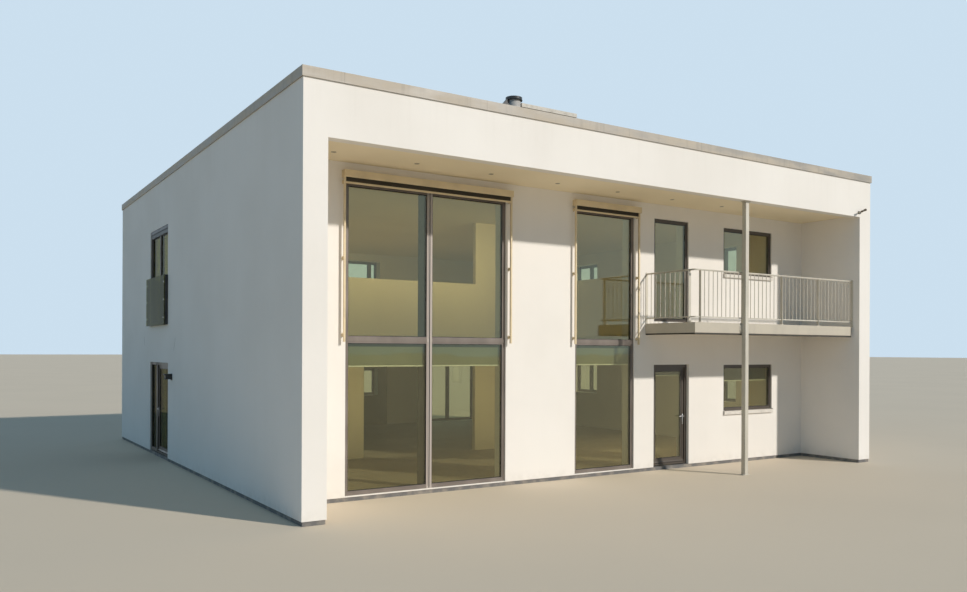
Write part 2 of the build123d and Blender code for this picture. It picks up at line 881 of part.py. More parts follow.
def gable_guard():
    # a pane held off the wall by an upright plate at each end
    wall = left_face
    near = gable_window.left - guard_near_lap
    far = gable_window.right + guard_far_lap
    bottom = gable_window.sill
    top = bottom + guard_height
    with BuildPart() as plates:
        with BuildSketch(wall.plane()):
            for place in (near, far - guard_plate):
                panel(place, place + guard_plate, bottom, top)
        extrude(amount=guard_standoff, dir=-wall.inward)
    save(plates.part, "gable_guard_plates")
    with BuildPart() as pane:
        with BuildSketch(wall.plane(-guard_standoff - seat_gap)):
            panel(near, far, bottom, top)
        extrude(amount=guard_glass, dir=-wall.inward)
    save(pane.part, "gable_guard_glass")


def roof_pieces():
    lid = roof_top + roof_box_height - roof_box_lid
    box = (left_x + roof_box_left, left_x + roof_box_right,
           front_y + roof_box_front, front_y + roof_box_front + roof_box_depth)
    with BuildPart() as casing:
        with BuildSketch(Plane.XY.offset(roof_top)):
            panel(*box, grow=-roof_box_lid_overhang)
        extrude(amount=lid - roof_top)
        with BuildSketch(Plane.XY.offset(lid)):
            panel(*box)
        extrude(amount=roof_box_lid)
    save(casing.part, "roof_box")

    centre = (left_x + vent_place, front_y + vent_row)
    cap_bottom = roof_top + vent_height - vent_cap_height
    with BuildPart() as pipe:
        with BuildSketch(Plane.XY.offset(roof_top)):
            with Locations(centre):
                Circle(vent_radius)
        extrude(amount=cap_bottom - roof_top)
    save(pipe.part, "vent_pipe")
    # shallow coned cap with a flap that hangs from its left side
    shoulder = vent_cap_height - vent_cap_crown
    root = -vent_radius - seat_gap
    with BuildPart() as cap:
        with BuildSketch(Plane((*centre, cap_bottom), (1, 0, 0), (0, -1, 0))):
            with BuildLine():
                Polyline((0, vent_cap_height), (0, 0), (vent_cap_radius, 0),
                         (vent_cap_radius, shoulder), close=True)
            make_face()
        revolve(axis=Axis((*centre, 0), (0, 0, 1)))
        with BuildSketch(Plane((*centre, cap_bottom), (1, 0, 0), (0, -1, 0))):
            with BuildLine():
                Polyline((root, shoulder / 2), (vent_flap_lip - vent_cap_radius, shoulder / 2),
                         (-vent_flap_reach, -vent_flap_drop), (root, -vent_flap_drop), close=True)
            make_face()
        extrude(amount=vent_flap_width / 2, both=True)
    save(cap.part, "vent_cap")


def downlights():
    with BuildPart() as lamps:
        with BuildSketch(Plane.XY.offset(soffit_height - downlight_height)):
            with Locations([(left_x + downlight_first + downlight_pitch * i,
                             front_y + downlight_row) for i in range(downlight_count)]):
                Circle(downlight_radius)
        extrude(amount=downlight_height)
    save(lamps.part, "downlights")


def wall_lamp():
    # black hood on a back plate, straight under and curved over the top
    wall = left_face
    place = side_doorway.left - lamp_from_door
    start = wall.point(place - lamp_half_width, 0, lamp_bottom)
    with BuildPart() as lamp:
        with BuildSketch(Plane(start, (-1, 0, 0), (0, 1, 0))):
            with BuildLine():
                Polyline((lamp_plate, lamp_height), (0, lamp_height), (0, 0),
                         (lamp_projection, 0), (lamp_projection, lamp_lip))
                RadiusArc((lamp_projection, lamp_lip), (lamp_plate, lamp_height),
                          lamp_hood_radius)
            make_face()
        extrude(amount=2 * lamp_half_width, dir=(0, 1, 0))
    save(lamp.part, "wall_lamp")


def corner_floodlight():
    # two spot heads turned away from each other on one small base
    place = house_width - floodlight_from_right
    height = fascia_bottom + floodlight_rise
    base = front_face.point(place, 0, height)
    hub = base - Vector(0, floodlight_arm, 0)
    with BuildPart() as light:
        with BuildSketch(front_face.plane()):
            with Locations((place, height)):
                Rectangle(floodlight_plate, floodlight_plate)
        extrude(amount=floodlight_arm, dir=(0, -1, 0))
        for aim, length in zip(floodlight_aims, floodlight_head_lengths):
            with BuildSketch(Plane(hub, z_dir=aim)):
                Circle(floodlight_head_radius)
            extrude(amount=length)
    save(light.part, "corner_floodlight")


def build():
    os.makedirs("parts", exist_ok=True)
    plinth()
    floors()
    gallery_parapet()
    ground_wall()
    outer_walls()
    recessed_walls()
    fascia()
    cappings()
    windows()
    window_post()
    window_sills()
    doors()
    awnings()
    roller_blinds()
    balcony()
    railing()
    column()
    gable_guard()
    roof_pieces()
    downlights()
    wall_lamp()
    corner_floodlight()


build()
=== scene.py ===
import math
import bmesh
import bpy
from mathutils import Matrix, Vector


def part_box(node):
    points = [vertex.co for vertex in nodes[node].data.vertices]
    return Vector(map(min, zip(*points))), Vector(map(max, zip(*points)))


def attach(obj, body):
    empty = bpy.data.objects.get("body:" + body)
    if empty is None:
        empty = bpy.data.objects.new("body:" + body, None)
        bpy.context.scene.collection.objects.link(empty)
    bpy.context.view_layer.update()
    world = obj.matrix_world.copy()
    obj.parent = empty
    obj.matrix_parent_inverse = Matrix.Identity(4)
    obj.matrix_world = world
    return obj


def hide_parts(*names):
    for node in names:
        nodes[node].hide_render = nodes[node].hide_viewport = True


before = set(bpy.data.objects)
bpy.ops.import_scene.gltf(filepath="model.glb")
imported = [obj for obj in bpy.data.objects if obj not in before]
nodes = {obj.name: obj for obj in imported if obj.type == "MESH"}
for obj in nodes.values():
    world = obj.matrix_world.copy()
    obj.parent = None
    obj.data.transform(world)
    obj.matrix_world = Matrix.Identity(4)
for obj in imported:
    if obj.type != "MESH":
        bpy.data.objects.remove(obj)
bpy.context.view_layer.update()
print("house loaded,", len(nodes), "nodes")


# Places on the house that several pieces share
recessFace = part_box("front_wall_left")[0].y
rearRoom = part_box("gallery_parapet")[0].y
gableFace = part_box("left_wall_front")[0].x
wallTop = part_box("left_wall_front")[1].z
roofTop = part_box("roof_slab")[1].z
hair = 0.0003            # the gap that keeps a fitting off the face behind it
doors = (("patioDoor", "patio_door", 0), ("sideDoor", "side_door", 1))     # name, body, axis along it


# Shader maths: a Link is one socket, and arithmetic on it adds the node that does it
class Link:
    def __init__(self, tree, socket=None):
        self.tree = tree
        self.socket = socket

    def node(self, kind, settings=(), inputs=(), out=0):
        made = self.tree.nodes.new("ShaderNode" + kind)
        for name, value in dict(settings).items():
            if name == "stops":
                while len(made.color_ramp.elements) < len(value):
                    made.color_ramp.elements.new(1)
                for element, (place, level) in zip(made.color_ramp.elements, value):
                    element.position = place
                    element.color = (level, level, level, 1)
            else:
                setattr(made, name, value)
        for name, value in dict(inputs).items():
            if isinstance(value, Link):
                self.tree.links.new(value.socket, made.inputs[name])
            else:
                made.inputs[name].default_value = value
        return Link(self.tree, made.outputs[out] if made.outputs else None)

    def maths(self, operation, *values):
        inputs = {i: value for i, value in enumerate(values)}
        return self.node("Math", {"operation": operation}, inputs)

    def __add__(self, other):
        return self.maths("ADD", self, other)

    def __radd__(self, other):
        return self.maths("ADD", other, self)

    def __sub__(self, other):
        return self.maths("SUBTRACT", self, other)

    def __rsub__(self, other):
        return self.maths("SUBTRACT", other, self)

    def __mul__(self, other):
        return self.maths("MULTIPLY", self, other)

    def __truediv__(self, other):
        return self.maths("DIVIDE", self, other)

    def __abs__(self):
        return self.maths("ABSOLUTE", self)

    def smallest(self, other):
        return self.maths("MINIMUM", self, other)

    def largest(self, other):
        return self.maths("MAXIMUM", self, other)

    def fade(self, start, end):
        # 0 at start, 1 at end, smooth between
        settings = {"interpolation_type": "SMOOTHSTEP"}
        return self.node("MapRange", settings, {"Value": self, "From Min": start, "From Max": end})

    def tint(self, factor, first, second):
        # a colour that goes from first to second as factor goes from 0 to 1
        ends = {0: factor, 6: rgb(first), 7: rgb(second)}
        return self.node("Mix", {"data_type": "RGBA"}, ends, out=2)


def rgb(colour):
    return colour if isinstance(colour, Link) else (*colour, 1)


def startMaterial(name):
    # the object's own coordinates, in the empty tree of a new material
    material = bpy.data.materials.new(name)
    material.use_nodes = True
    material.node_tree.nodes.clear()
    place = Link(material.node_tree).node("TexCoord", out="Object")
    place.material = material
    return place


def axesOf(place):
    return [place.node("SeparateXYZ", {}, {"Vector": place}, out=i) for i in range(3)]


def noise(place, scale, detail=2, stretch=(1, 1, 1)):
    # noise with about scale features a metre, stretched along an axis where its value is small
    spread = place.node("Mapping", {}, {"Vector": place, "Scale": stretch})
    return place.node("TexNoise", {}, {"Vector": spread, "Scale": scale, "Detail": detail})


def finishMaterial(place, colour, roughness, bump=None, depth=0.001, **constants):
    inputs = {"Base Color": rgb(colour), "Roughness": roughness}
    if bump is not None:
        inputs["Normal"] = place.node("Bump", {}, {"Height": bump, "Distance": depth})
    for name, value in constants.items():
        inputs[name.replace("_", " ")] = value
    shader = place.node("BsdfPrincipled", {}, inputs)
    place.node("OutputMaterial", {}, {"Surface": shader})
    return place.material


def paint(material, *starts):
    # every node whose name starts so; a later call goes over an earlier one
    for name, node in nodes.items():
        if name.startswith(starts):
            for slot in node.material_slots:
                slot.material = material


# Smooth painted render: cloudy tone, rain streaks under the capping, splashes at the foot, and painted
# shade inside the ground floor's back room
def makeRender():
    look = {"clean": (0.87, 0.825, 0.765), "weathered": (0.74, 0.69, 0.62), "dirt": (0.4, 0.36, 0.3),
            "inside": (0.24, 0.2, 0.13), "insideTo": 1.25, "insideTop": 2.9, "streakLength": 1.2,
            "splashHeight": 0.3, "grainDepth": 0.0012, "scrapeWidth": 0.016,
            # along the gable, up, lean and length in metres
            "scrapes": ((3.943, 2.743, 0.03, 0.13), (0.733, 2.654, -0.09, 0.17))}
    place = startMaterial("paintedRender")
    axes = axesOf(place)
    clouds = noise(place, 0.45, 5).fade(0.36, 0.68)
    bands = noise(place, 1.0, 3, (2.2, 2.2, 0.16)).fade(0.42, 0.66)
    streaks = noise(place, 1.0, 4, (9, 9, 0.35)).fade(0.5, 0.72)
    under = axes[2].fade(wallTop - look["streakLength"], wallTop)
    foot = axes[2].fade(look["splashHeight"], 0.05) * noise(place, 7, 4).fade(0.35, 0.7)
    worn = (clouds * 0.3 + bands * 0.05 + streaks * under * 0.12).smallest(1)
    colour = place.tint(worn, look["clean"], look["weathered"])
    colour = place.tint(foot * 0.16, colour, look["dirt"])
    # painted shade: the walls inside the back room of the ground floor are darkened to stand in for the
    # shade in that room
    low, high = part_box("roof_slab")
    inside = axes[0].fade(low.x - 0.008, low.x - 0.004)
    inside = inside * axes[0].fade(look["insideTo"], look["insideTo"] - 0.01)
    inside = inside * axes[1].fade(rearRoom - 0.01, rearRoom) * axes[1].fade(high.y + 0.01, high.y + 0.006)
    inside = inside * axes[2].fade(look["insideTop"], look["insideTop"] - 0.01)
    colour = place.tint(inside * 0.9, colour, look["inside"])
    # two old scrapes on the gable, below the upper window
    for along, up, lean, length in look["scrapes"]:
        rise = (axes[2] - up) / length
        across = abs(axes[1] - along - rise * lean) / look["scrapeWidth"]
        scrape = (1 - abs(rise).largest(across)).fade(0, 0.4)
        scrape = scrape * axes[0].fade(gableFace + 0.05, gableFace)
        colour = place.tint(scrape * 0.75, colour, look["dirt"])
    grain = noise(place, 260, 2) * 0.45 + noise(place, 60, 3) * 0.35 + noise(place, 5, 3) * 1.6
    return finishMaterial(place, colour, 0.78 + worn * 0.12, grain, look["grainDepth"])


# Dark base coat below the render, splashed with earth
def makePlinth():
    look = {"base": (0.16, 0.155, 0.15), "earth": (0.3, 0.27, 0.23)}
    place = startMaterial("plinthCoat")
    splash = noise(place, 5, 5).fade(0.4, 0.7)
    colour = place.tint(splash, look["base"], look["earth"])
    return finishMaterial(place, colour, 0.9, noise(place, 90, 4), 0.003)


# Matt painted plaster: ceilings, soffit, floor edges and the gallery parapet
def makePlaster():
    # painted light: the warm yellow of both plaster tones stands in for warm light bounced from the ground
    # onto the soffit and ceilings
    look = {"wall": (0.92, 0.8, 0.58), "shade": (0.85, 0.73, 0.52), "roofFelt": (0.11, 0.11, 0.115),
            "feltWorn": (0.19, 0.19, 0.19), "feltSeam": (0.055, 0.055, 0.058), "feltWidth": 1.0,
            "lap": (0.022, 0.01)}
    place = startMaterial("paintedPlaster")
    axes = axesOf(place)
    colour = place.tint(noise(place, 0.8, 4).fade(0.35, 0.7) * 0.5, look["wall"], look["shade"])
    felt = place.tint(noise(place, 1.1, 6).fade(0.3, 0.75) * 0.7, look["roofFelt"], look["feltWorn"])
    seam = abs(axes[0].maths("FRACT", axes[0] / look["feltWidth"]) - 0.5) * look["feltWidth"]
    felt = place.tint(seam.fade(*look["lap"]) * 0.8, felt, look["feltSeam"])
    onTop = axes[2].fade(roofTop - 0.004, roofTop - 0.001)
    colour = place.tint(onTop, colour, felt)
    return finishMaterial(place, colour, 0.85, noise(place, 150, 3), 0.0006)


# Folded metal capping, weathered to a brown-grey bloom, with a joint every sheet
def makeCapping():
    look = {"metal": (0.32, 0.29, 0.25), "bloom": (0.48, 0.42, 0.34), "stain": (0.2, 0.18, 0.155),
            "sheet": 2.5, "joint": 0.006}
    place = startMaterial("weatheredCapping")
    axes = axesOf(place)
    bloom = noise(place, 1.3, 6, (1, 1, 4)).fade(0.38, 0.66)
    runs = noise(place, 1.0, 4, (14, 14, 0.8)).fade(0.52, 0.7)
    colour = place.tint(bloom, look["metal"], look["bloom"])
    colour = place.tint(runs * 0.2, colour, look["stain"])
    lines = []
    for axis in axes[:2]:
        away = abs(axis.maths("FRACT", axis / look["sheet"]) - 0.5) * look["sheet"]
        lines.append(away.fade(look["joint"], look["joint"] * 0.4))
    colour = place.tint(lines[0].largest(lines[1]) * 0.7, colour, look["stain"])
    return finishMaterial(place, colour, 0.5 + bloom * 0.25, noise(place, 4, 3), 0.004, Metallic=0.25)


# Dark brown-grey coated metal of the window and door frames, with a painted highlight on the coupled bars
def makeFrames():
    look = {"coat": (0.185, 0.152, 0.128), "dust": (0.29, 0.245, 0.21), "small": (0.075, 0.06, 0.046),
            "couplingHighlight": (0.46, 0.4, 0.355), "smallFrom": 1.25, "gableTo": -6.72, "coupling": -3.9085,
            "couplingWidth": 0.052}
    place = startMaterial("frameCoat")
    across = axesOf(place)[0]
    dust = noise(place, 2.2, 5, (1, 1, 0.5)).fade(0.42, 0.7)
    colour = place.tint(dust * 0.55, look["coat"], look["dust"])
    # painted highlight: the coupled bars are painted paler, as where the sun catches them; the small
    # windows on the right and the gable's are darker
    wide, right, left = look["couplingWidth"], look["smallFrom"], look["gableTo"]
    colour = place.tint(abs(across - look["coupling"]).fade(wide + 0.002, wide), colour, look["couplingHighlight"])
    colour = place.tint(across.fade(right - 0.01, right) * 0.9, colour, look["small"])
    colour = place.tint(across.fade(left, left - 0.02) * 0.8, colour, look["small"])
    return finishMaterial(place, colour, 0.38 + dust * 0.2, noise(place, 700, 2), 0.0002)


# Faintly olive double glazing: mostly clear, with a mirror film that grows at flat angles
def makeGlass(name, tint, mirror, flat):
    look = {"film": (0.72, 0.7, 0.56), "dust": (0.5, 0.46, 0.34)}
    place = startMaterial(name)
    facing = place.node("LayerWeight", {}, {"Blend": 0.3}, out=1)
    dust = noise(place, 0.9, 5, (1, 1, 0.4)).fade(0.45, 0.8)
    ripple = place.node("Bump", {}, {"Height": noise(place, 1.1, 1), "Distance": 0.002})
    tone = place.tint(dust * 0.3, look["film"], look["dust"])
    film = place.node("BsdfPrincipled", {}, {"Base Color": tone, "Metallic": 1.0, "Roughness": 0.03,
                                             "Normal": ripple})
    clear = place.node("BsdfTransparent", {}, {"Color": rgb(tint)})
    share = (mirror + facing * flat + dust * 0.03).smallest(1)
    shader = place.node("MixShader", {}, {0: share, 1: clear, 2: film})
    place.node("OutputMaterial", {}, {"Surface": shader})
    return place.material


# Cream coated awning boxes with rain marks
def makeAwning():
    look = {"cream": (0.74, 0.6, 0.38), "grime": (0.4, 0.33, 0.22)}
    place = startMaterial("awningCoat")
    grime = noise(place, 1.0, 5, (2.5, 6, 4)).fade(0.42, 0.75)
    colour = place.tint(grime * 0.3, look["cream"], look["grime"])
    return finishMaterial(place, colour, 0.45 + grime * 0.25, noise(place, 500, 2), 0.0002)


# Galvanised steel: patches of zinc spangle, dulled by weather
def makeGalvanised():
    look = {"bright": (0.66, 0.61, 0.51), "dull": (0.46, 0.42, 0.35)}
    place = startMaterial("galvanisedSteel")
    spangle = place.node("TexVoronoi", {}, {"Vector": place, "Scale": 90}, out="Color")
    patches = place.node("SeparateColor", {}, {"Color": spangle}, out=0)
    cloud = noise(place, 3, 4, (1, 1, 0.4)).fade(0.35, 0.7)
    colour = place.tint(patches * 0.4 + cloud * 0.5, look["bright"], look["dull"])
    return finishMaterial(place, colour, 0.42 + patches * 0.22, Metallic=0.2)


# Grey concrete of the balcony slab, darker where water runs off
def makeConcrete():
    look = {"dry": (0.57, 0.51, 0.41), "damp": (0.4, 0.365, 0.31)}
    place = startMaterial("balconyConcrete")
    runs = noise(place, 1.0, 5, (7, 7, 0.8)).fade(0.45, 0.75)
    colour = place.tint(runs * 0.16 + noise(place, 2, 6).fade(0.3, 0.8) * 0.3, look["dry"], look["damp"])
    return finishMaterial(place, colour, 0.85, noise(place, 120, 5), 0.0015)


# One coated or moulded surface with a slight cloud of wear
def makeCoat(name, colour, worn, roughness, metallic=0.0):
    place = startMaterial(name)
    wear = noise(place, 9, 5).fade(0.4, 0.75)
    mixed = place.tint(wear * 0.6, colour, worn)
    return finishMaterial(place, mixed, roughness + wear * 0.15, noise(place, 400, 2), 0.0002,
                          Metallic=metallic)


# Woven cloth: fine threads both ways over a soft change of tone
def makeFabric(name, colour, shade):
    place = startMaterial(name)
    axes = axesOf(place)
    threads = [abs(axis.maths("SINE", axis * 1800)) for axis in (axes[0], axes[2])]
    weave = threads[0] * threads[1]
    tone = noise(place, 1.6, 4, (1, 1, 0.5)).fade(0.35, 0.7)
    mixed = place.tint(tone * 0.5 + weave * 0.25, colour, shade)
    return finishMaterial(place, mixed, 0.88, weave, 0.0002)


# Large satin floor tiles
def makeTiles():
    look = {"tile": (0.3, 0.25, 0.18), "shade": (0.26, 0.21, 0.15), "grout": (0.12, 0.11, 0.1)}
    place = startMaterial("floorTiles")
    bricks = place.node("TexBrick", {"offset": 0.0, "squash": 1.0},
                        {"Vector": place, "Scale": 1.0, "Mortar Size": 0.004, "Brick Width": 0.6,
                         "Row Height": 0.6, "Color1": rgb(look["tile"]), "Color2": rgb(look["shade"]),
                         "Mortar": rgb(look["grout"])})
    return finishMaterial(place, bricks, 0.6)


# Fittings are made in the house's own frame, each as one mesh of boxes, rods, rings and turned parts
def coatOf(name):
    return nodes[name].material_slots[0].material


def bevelEdges(mesh, edges, width):
    bmesh.ops.bevel(mesh, geom=edges, offset=width, segments=2, profile=0.5, affect="EDGES",
                    material=-1)


def addBox(mesh, start, end, bevel=0.0):
    # a box between any two opposite corners
    middle = [(a + b) / 2 for a, b in zip(start, end)]
    size = [abs(b - a) for a, b in zip(start, end)]
    place = Matrix.Translation(middle) @ Matrix.Diagonal((*size, 1))
    corners = bmesh.ops.create_cube(mesh, size=1, matrix=place)["verts"]
    if bevel:
        bevelEdges(mesh, list({edge for corner in corners for edge in corner.link_edges}), bevel)


def addRod(mesh, start, end, radius, sides=16):
    start, end = Vector(start), Vector(end)
    turn = (end - start).to_track_quat("Z", "Y").to_matrix().to_4x4()
    bmesh.ops.create_cone(mesh, cap_ends=True, segments=sides, radius1=radius, radius2=radius,
                          depth=(end - start).length, matrix=Matrix.Translation((start + end) / 2) @ turn)


def addBall(mesh, centre, radius, around=20, rings=12):
    bmesh.ops.create_uvsphere(mesh, u_segments=around, v_segments=rings, radius=radius,
                              matrix=Matrix.Translation(centre))


def addBolt(mesh, foot, way, radius):
    # washer, hexagon nut and the end of the thread, standing off a face
    foot, way = Vector(foot), Vector(way) * radius
    for start, end, width, sides in ((0, 0.3, 1.9, 20), (0.3, 1.3, 1.5, 6), (1.3, 1.8, 0.8, 12)):
        addRod(mesh, foot + way * start, foot + way * end, width * radius, sides)


def addTurned(mesh, foot, way, profile, steps=32, ring=False):
    # profile gives points as (out from the axis, along it), spun once round; a ring closes
    # from its last point to its first, anything else with flat ends
    if not ring and profile[0][0]:
        profile = [(0, profile[0][1])] + profile
    if not ring and profile[-1][0]:
        profile = profile + [(0, profile[-1][1])]
    turn = Matrix.Translation(foot) @ Vector(way).to_track_quat("Z", "Y").to_matrix().to_4x4()
    corners = [mesh.verts.new(turn @ Vector((out, 0, along))) for out, along in profile]
    edges = [mesh.edges.new(pair) for pair in zip(corners, corners[1:])]
    if ring:
        edges.append(mesh.edges.new((corners[-1], corners[0])))
    bmesh.ops.spin(mesh, geom=corners + edges, cent=turn.translation, steps=steps,
                   axis=turn.to_3x3() @ Vector((0, 0, 1)), angle=2 * math.pi, use_merge=True)


def pushOut(mesh, faces, axis, distance):
    # extrudes faces along an axis and returns the moved faces
    moved = bmesh.ops.extrude_face_region(mesh, geom=faces)["geom"]
    bmesh.ops.translate(mesh, vec=[distance if i == axis else 0 for i in range(3)],
                        verts=[part for part in moved if isinstance(part, bmesh.types.BMVert)])
    return {part for part in moved if isinstance(part, bmesh.types.BMFace)}


def addRing(mesh, box, axis, face, width, out, edge=0.0):
    # a mitred frame just inside a box's edge, standing out of the plane at face
    corners = []
    for ends in ((0, 0), (1, 0), (1, 1), (0, 1)):
        end = iter(ends)
        corners.append(mesh.verts.new([face if i == axis else box[next(end)][i] for i in range(3)]))
    middle = mesh.faces.new(corners)
    middle.normal_update()
    rim = bmesh.ops.inset_region(mesh, faces=[middle], thickness=width, use_boundary=True,
                                 use_even_offset=True)["faces"]
    bmesh.ops.delete(mesh, geom=[middle], context="FACES_ONLY")
    tops = pushOut(mesh, rim, axis, out)
    if edge:
        # the rims round the raised faces, not the mitre lines across them
        bevelEdges(mesh, [line for line in mesh.edges
                          if sum(side in tops for side in line.link_faces) == 1], edge)


def uprightGrid(centre, width, height, across, down):
    # a grid of faces in a plane that faces the front
    mesh = bmesh.new()
    turn = Matrix.Rotation(math.pi / 2, 4, "X") @ Matrix.Diagonal((width, height, 1, 1))
    bmesh.ops.create_grid(mesh, x_segments=across, y_segments=down, size=0.5,
                          matrix=Matrix.Translation(centre) @ turn)
    return mesh


def newObject(name, data):
    made = bpy.data.objects.new(name, data)
    bpy.context.scene.collection.objects.link(made)
    return made


def newPiece(name, mesh, material, replaced=(), body="house", smooth=0):
    # smooth is the angle in degrees above which edges stay sharp, 0 leaves all faces flat
    bmesh.ops.remove_doubles(mesh, verts=mesh.verts, dist=0.00001)
    bmesh.ops.recalc_face_normals(mesh, faces=mesh.faces)
    data = bpy.data.meshes.new(name)
    mesh.to_mesh(data)
    mesh.free()
    data.materials.append(material)
    if smooth:
        data.shade_smooth()
        data.set_sharp_from_angle(angle=math.radians(smooth))
    piece = newObject(name, data)
    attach(piece, body)
    if replaced:
        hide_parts(*replaced)
    return piece


def solidBoxes(name):
    # (lowest corner, highest corner) of every separate solid in a node, from left to right
    mesh = bmesh.new()
    mesh.from_mesh(nodes[name].data)
    bmesh.ops.remove_doubles(mesh, verts=mesh.verts, dist=0.00001)
    boxes, seen = [], set()
    for first in mesh.verts:
        if first in seen:
            continue
        seen.add(first)
        waiting, island = [first], []
        while waiting:
            corner = waiting.pop()
            island.append(corner.co.copy())
            fresh = {edge.other_vert(corner) for edge in corner.link_edges} - seen
            seen |= fresh
            waiting += fresh
        boxes.append(tuple(Vector([pick(point[i] for point in island) for i in range(3)])
                           for pick in (min, max)))
    mesh.free()
    return sorted(boxes, key=lambda box: (round(box[0].x, 3), box[0].y, box[0].z))


# Rubber seals pressed in round every pane, on both faces of the glass
def makeSeals():
    look = {"rebate": 0.0117, "width": 0.008, "out": 0.009, "doorOut": 0.004, "edge": 0.0015,
            "gap": (-3.918, -3.899), "gapDepth": (0.006, 0.016), "gapTop": 5.438}
    rubber = makeCoat("sealRubber", (0.012, 0.012, 0.012), (0.03, 0.03, 0.029), 0.6)
    for name, node, axis in (("front", "front_window", 1), ("back", "back_window", 1),
                             ("gable", "gable_window", 0), ("right", "right_window", 0),
                             ("patioDoor", "patio_door", 1), ("sideDoor", "side_door", 0)):
        mesh = bmesh.new()
        body, out = (node, look["doorOut"]) if "door" in node else ("house", look["out"])
        inward = Vector([0 if i == axis else look["rebate"] for i in range(3)])
        for low, high in solidBoxes(node + "_glass"):
            pane = (low + inward, high - inward)
            for face, way in ((low[axis], -1), (high[axis], 1)):
                addRing(mesh, pane, axis, face, look["width"], out * way, look["edge"])
        newPiece(name + "Seals", mesh, rubber, body=body)
    # the black strip that closes the gap between the coupled frames of the living room window
    low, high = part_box("front_window_frames")
    (left, right), (front, back) = look["gap"], look["gapDepth"]
    mesh = bmesh.new()
    addBox(mesh, (left, low.y + front, low.z + 0.002), (right, low.y + back, look["gapTop"]), 0.002)
    newPiece("couplingSeal", mesh, rubber)
    print("seals made")


# Roller blinds: woven sheets with a pale hem bar, each under a small dark head box
def makeBlinds():
    # each colour with its shaded or worn tone
    look = {"tall": ((0.23, 0.235, 0.155), (0.17, 0.175, 0.115)),
            "small": ((0.075, 0.072, 0.065), (0.05, 0.048, 0.044)),
            "hem": ((0.78, 0.75, 0.64), (0.62, 0.6, 0.5)),
            "head": ((0.055, 0.045, 0.035), (0.09, 0.075, 0.06)), "ripple": 0.0012,
            "thickness": 0.0006, "hemHeight": 0.024, "hemDepth": 0.012, "tallHead": 0.115,
            "smallHead": 0.052, "headRise": 0.012, "headDepth": 0.062, "doorHeadDepth": 0.03}
    tallCloth = makeFabric("blindWeave", *look["tall"])
    smallCloth = makeFabric("darkBlindWeave", *look["small"])
    hemCoat = makeCoat("blindHem", *look["hem"], 0.45)
    headCoat = makeCoat("blindHead", *look["head"], 0.5)
    boxes = solidBoxes("roller_blinds") + solidBoxes("patio_door_blind")
    names = ("livingBlindLeft", "livingBlindRight", "stairBlind", "kitchenBlindLeft", "kitchenBlindRight",
             "patioDoorBlind")
    for name, (low, high) in zip(names, boxes):
        isTall, onDoor = name in names[:3], name == "patioDoorBlind"
        body, node = ("patio_door", "patio_door_blind") if onDoor else ("house", "roller_blinds")
        width, height = high.x - low.x, high.z - low.z
        middle = (low + high) / 2
        mesh = uprightGrid((middle.x, low.y + 0.004, middle.z), width, height, 40, 12)
        for corner in mesh.verts:
            across = (corner.co.x - low.x) / width
            down = (high.z - corner.co.z) / height
            wave = math.sin(across * 17 + 0.6) + 0.5 * math.sin(across * 41 + down * 3)
            corner.co.y += look["ripple"] * wave * down * (1 - 0.5 * down)
        bmesh.ops.solidify(mesh, geom=mesh.faces[:], thickness=look["thickness"])
        sheet = newPiece(name, mesh, tallCloth if isTall else smallCloth, (node,), body, 60)

        mesh = bmesh.new()
        back, top = low.y + look["hemDepth"], low.z + look["hemHeight"]
        addBox(mesh, (low.x - 0.001, low.y, low.z), (high.x + 0.001, back, top), 0.004)
        for end in (low.x - 0.003, high.x - 0.001):
            addBox(mesh, (end, low.y - 0.0002, low.z - 0.001),
                   (end + 0.004, back + 0.001, top + 0.001), 0.001)
        hem = newPiece(name + "Hem", mesh, hemCoat, body=body)

        mesh = bmesh.new()
        tall = look["tallHead"] if isTall else look["smallHead"]
        depth = look["doorHeadDepth"] if onDoor else look["headDepth"]
        left, right, top = low.x - 0.004, high.x + 0.004, high.z + look["headRise"]
        foot, axle = top - tall, low.y + depth * 0.5
        addBox(mesh, (left, low.y + 0.009, foot), (right, low.y + depth, top), 0.006)
        addBox(mesh, (left, low.y + 0.0004, foot + 0.012), (right, low.y + 0.009, top), 0.001)
        addRod(mesh, (left - 0.002, axle, foot + tall * 0.5), (right + 0.002, axle, foot + tall * 0.5),
               min(depth, tall) * 0.36, 24)
        newPiece(name + "Head", mesh, headCoat, body=body)
    print("blinds hung")


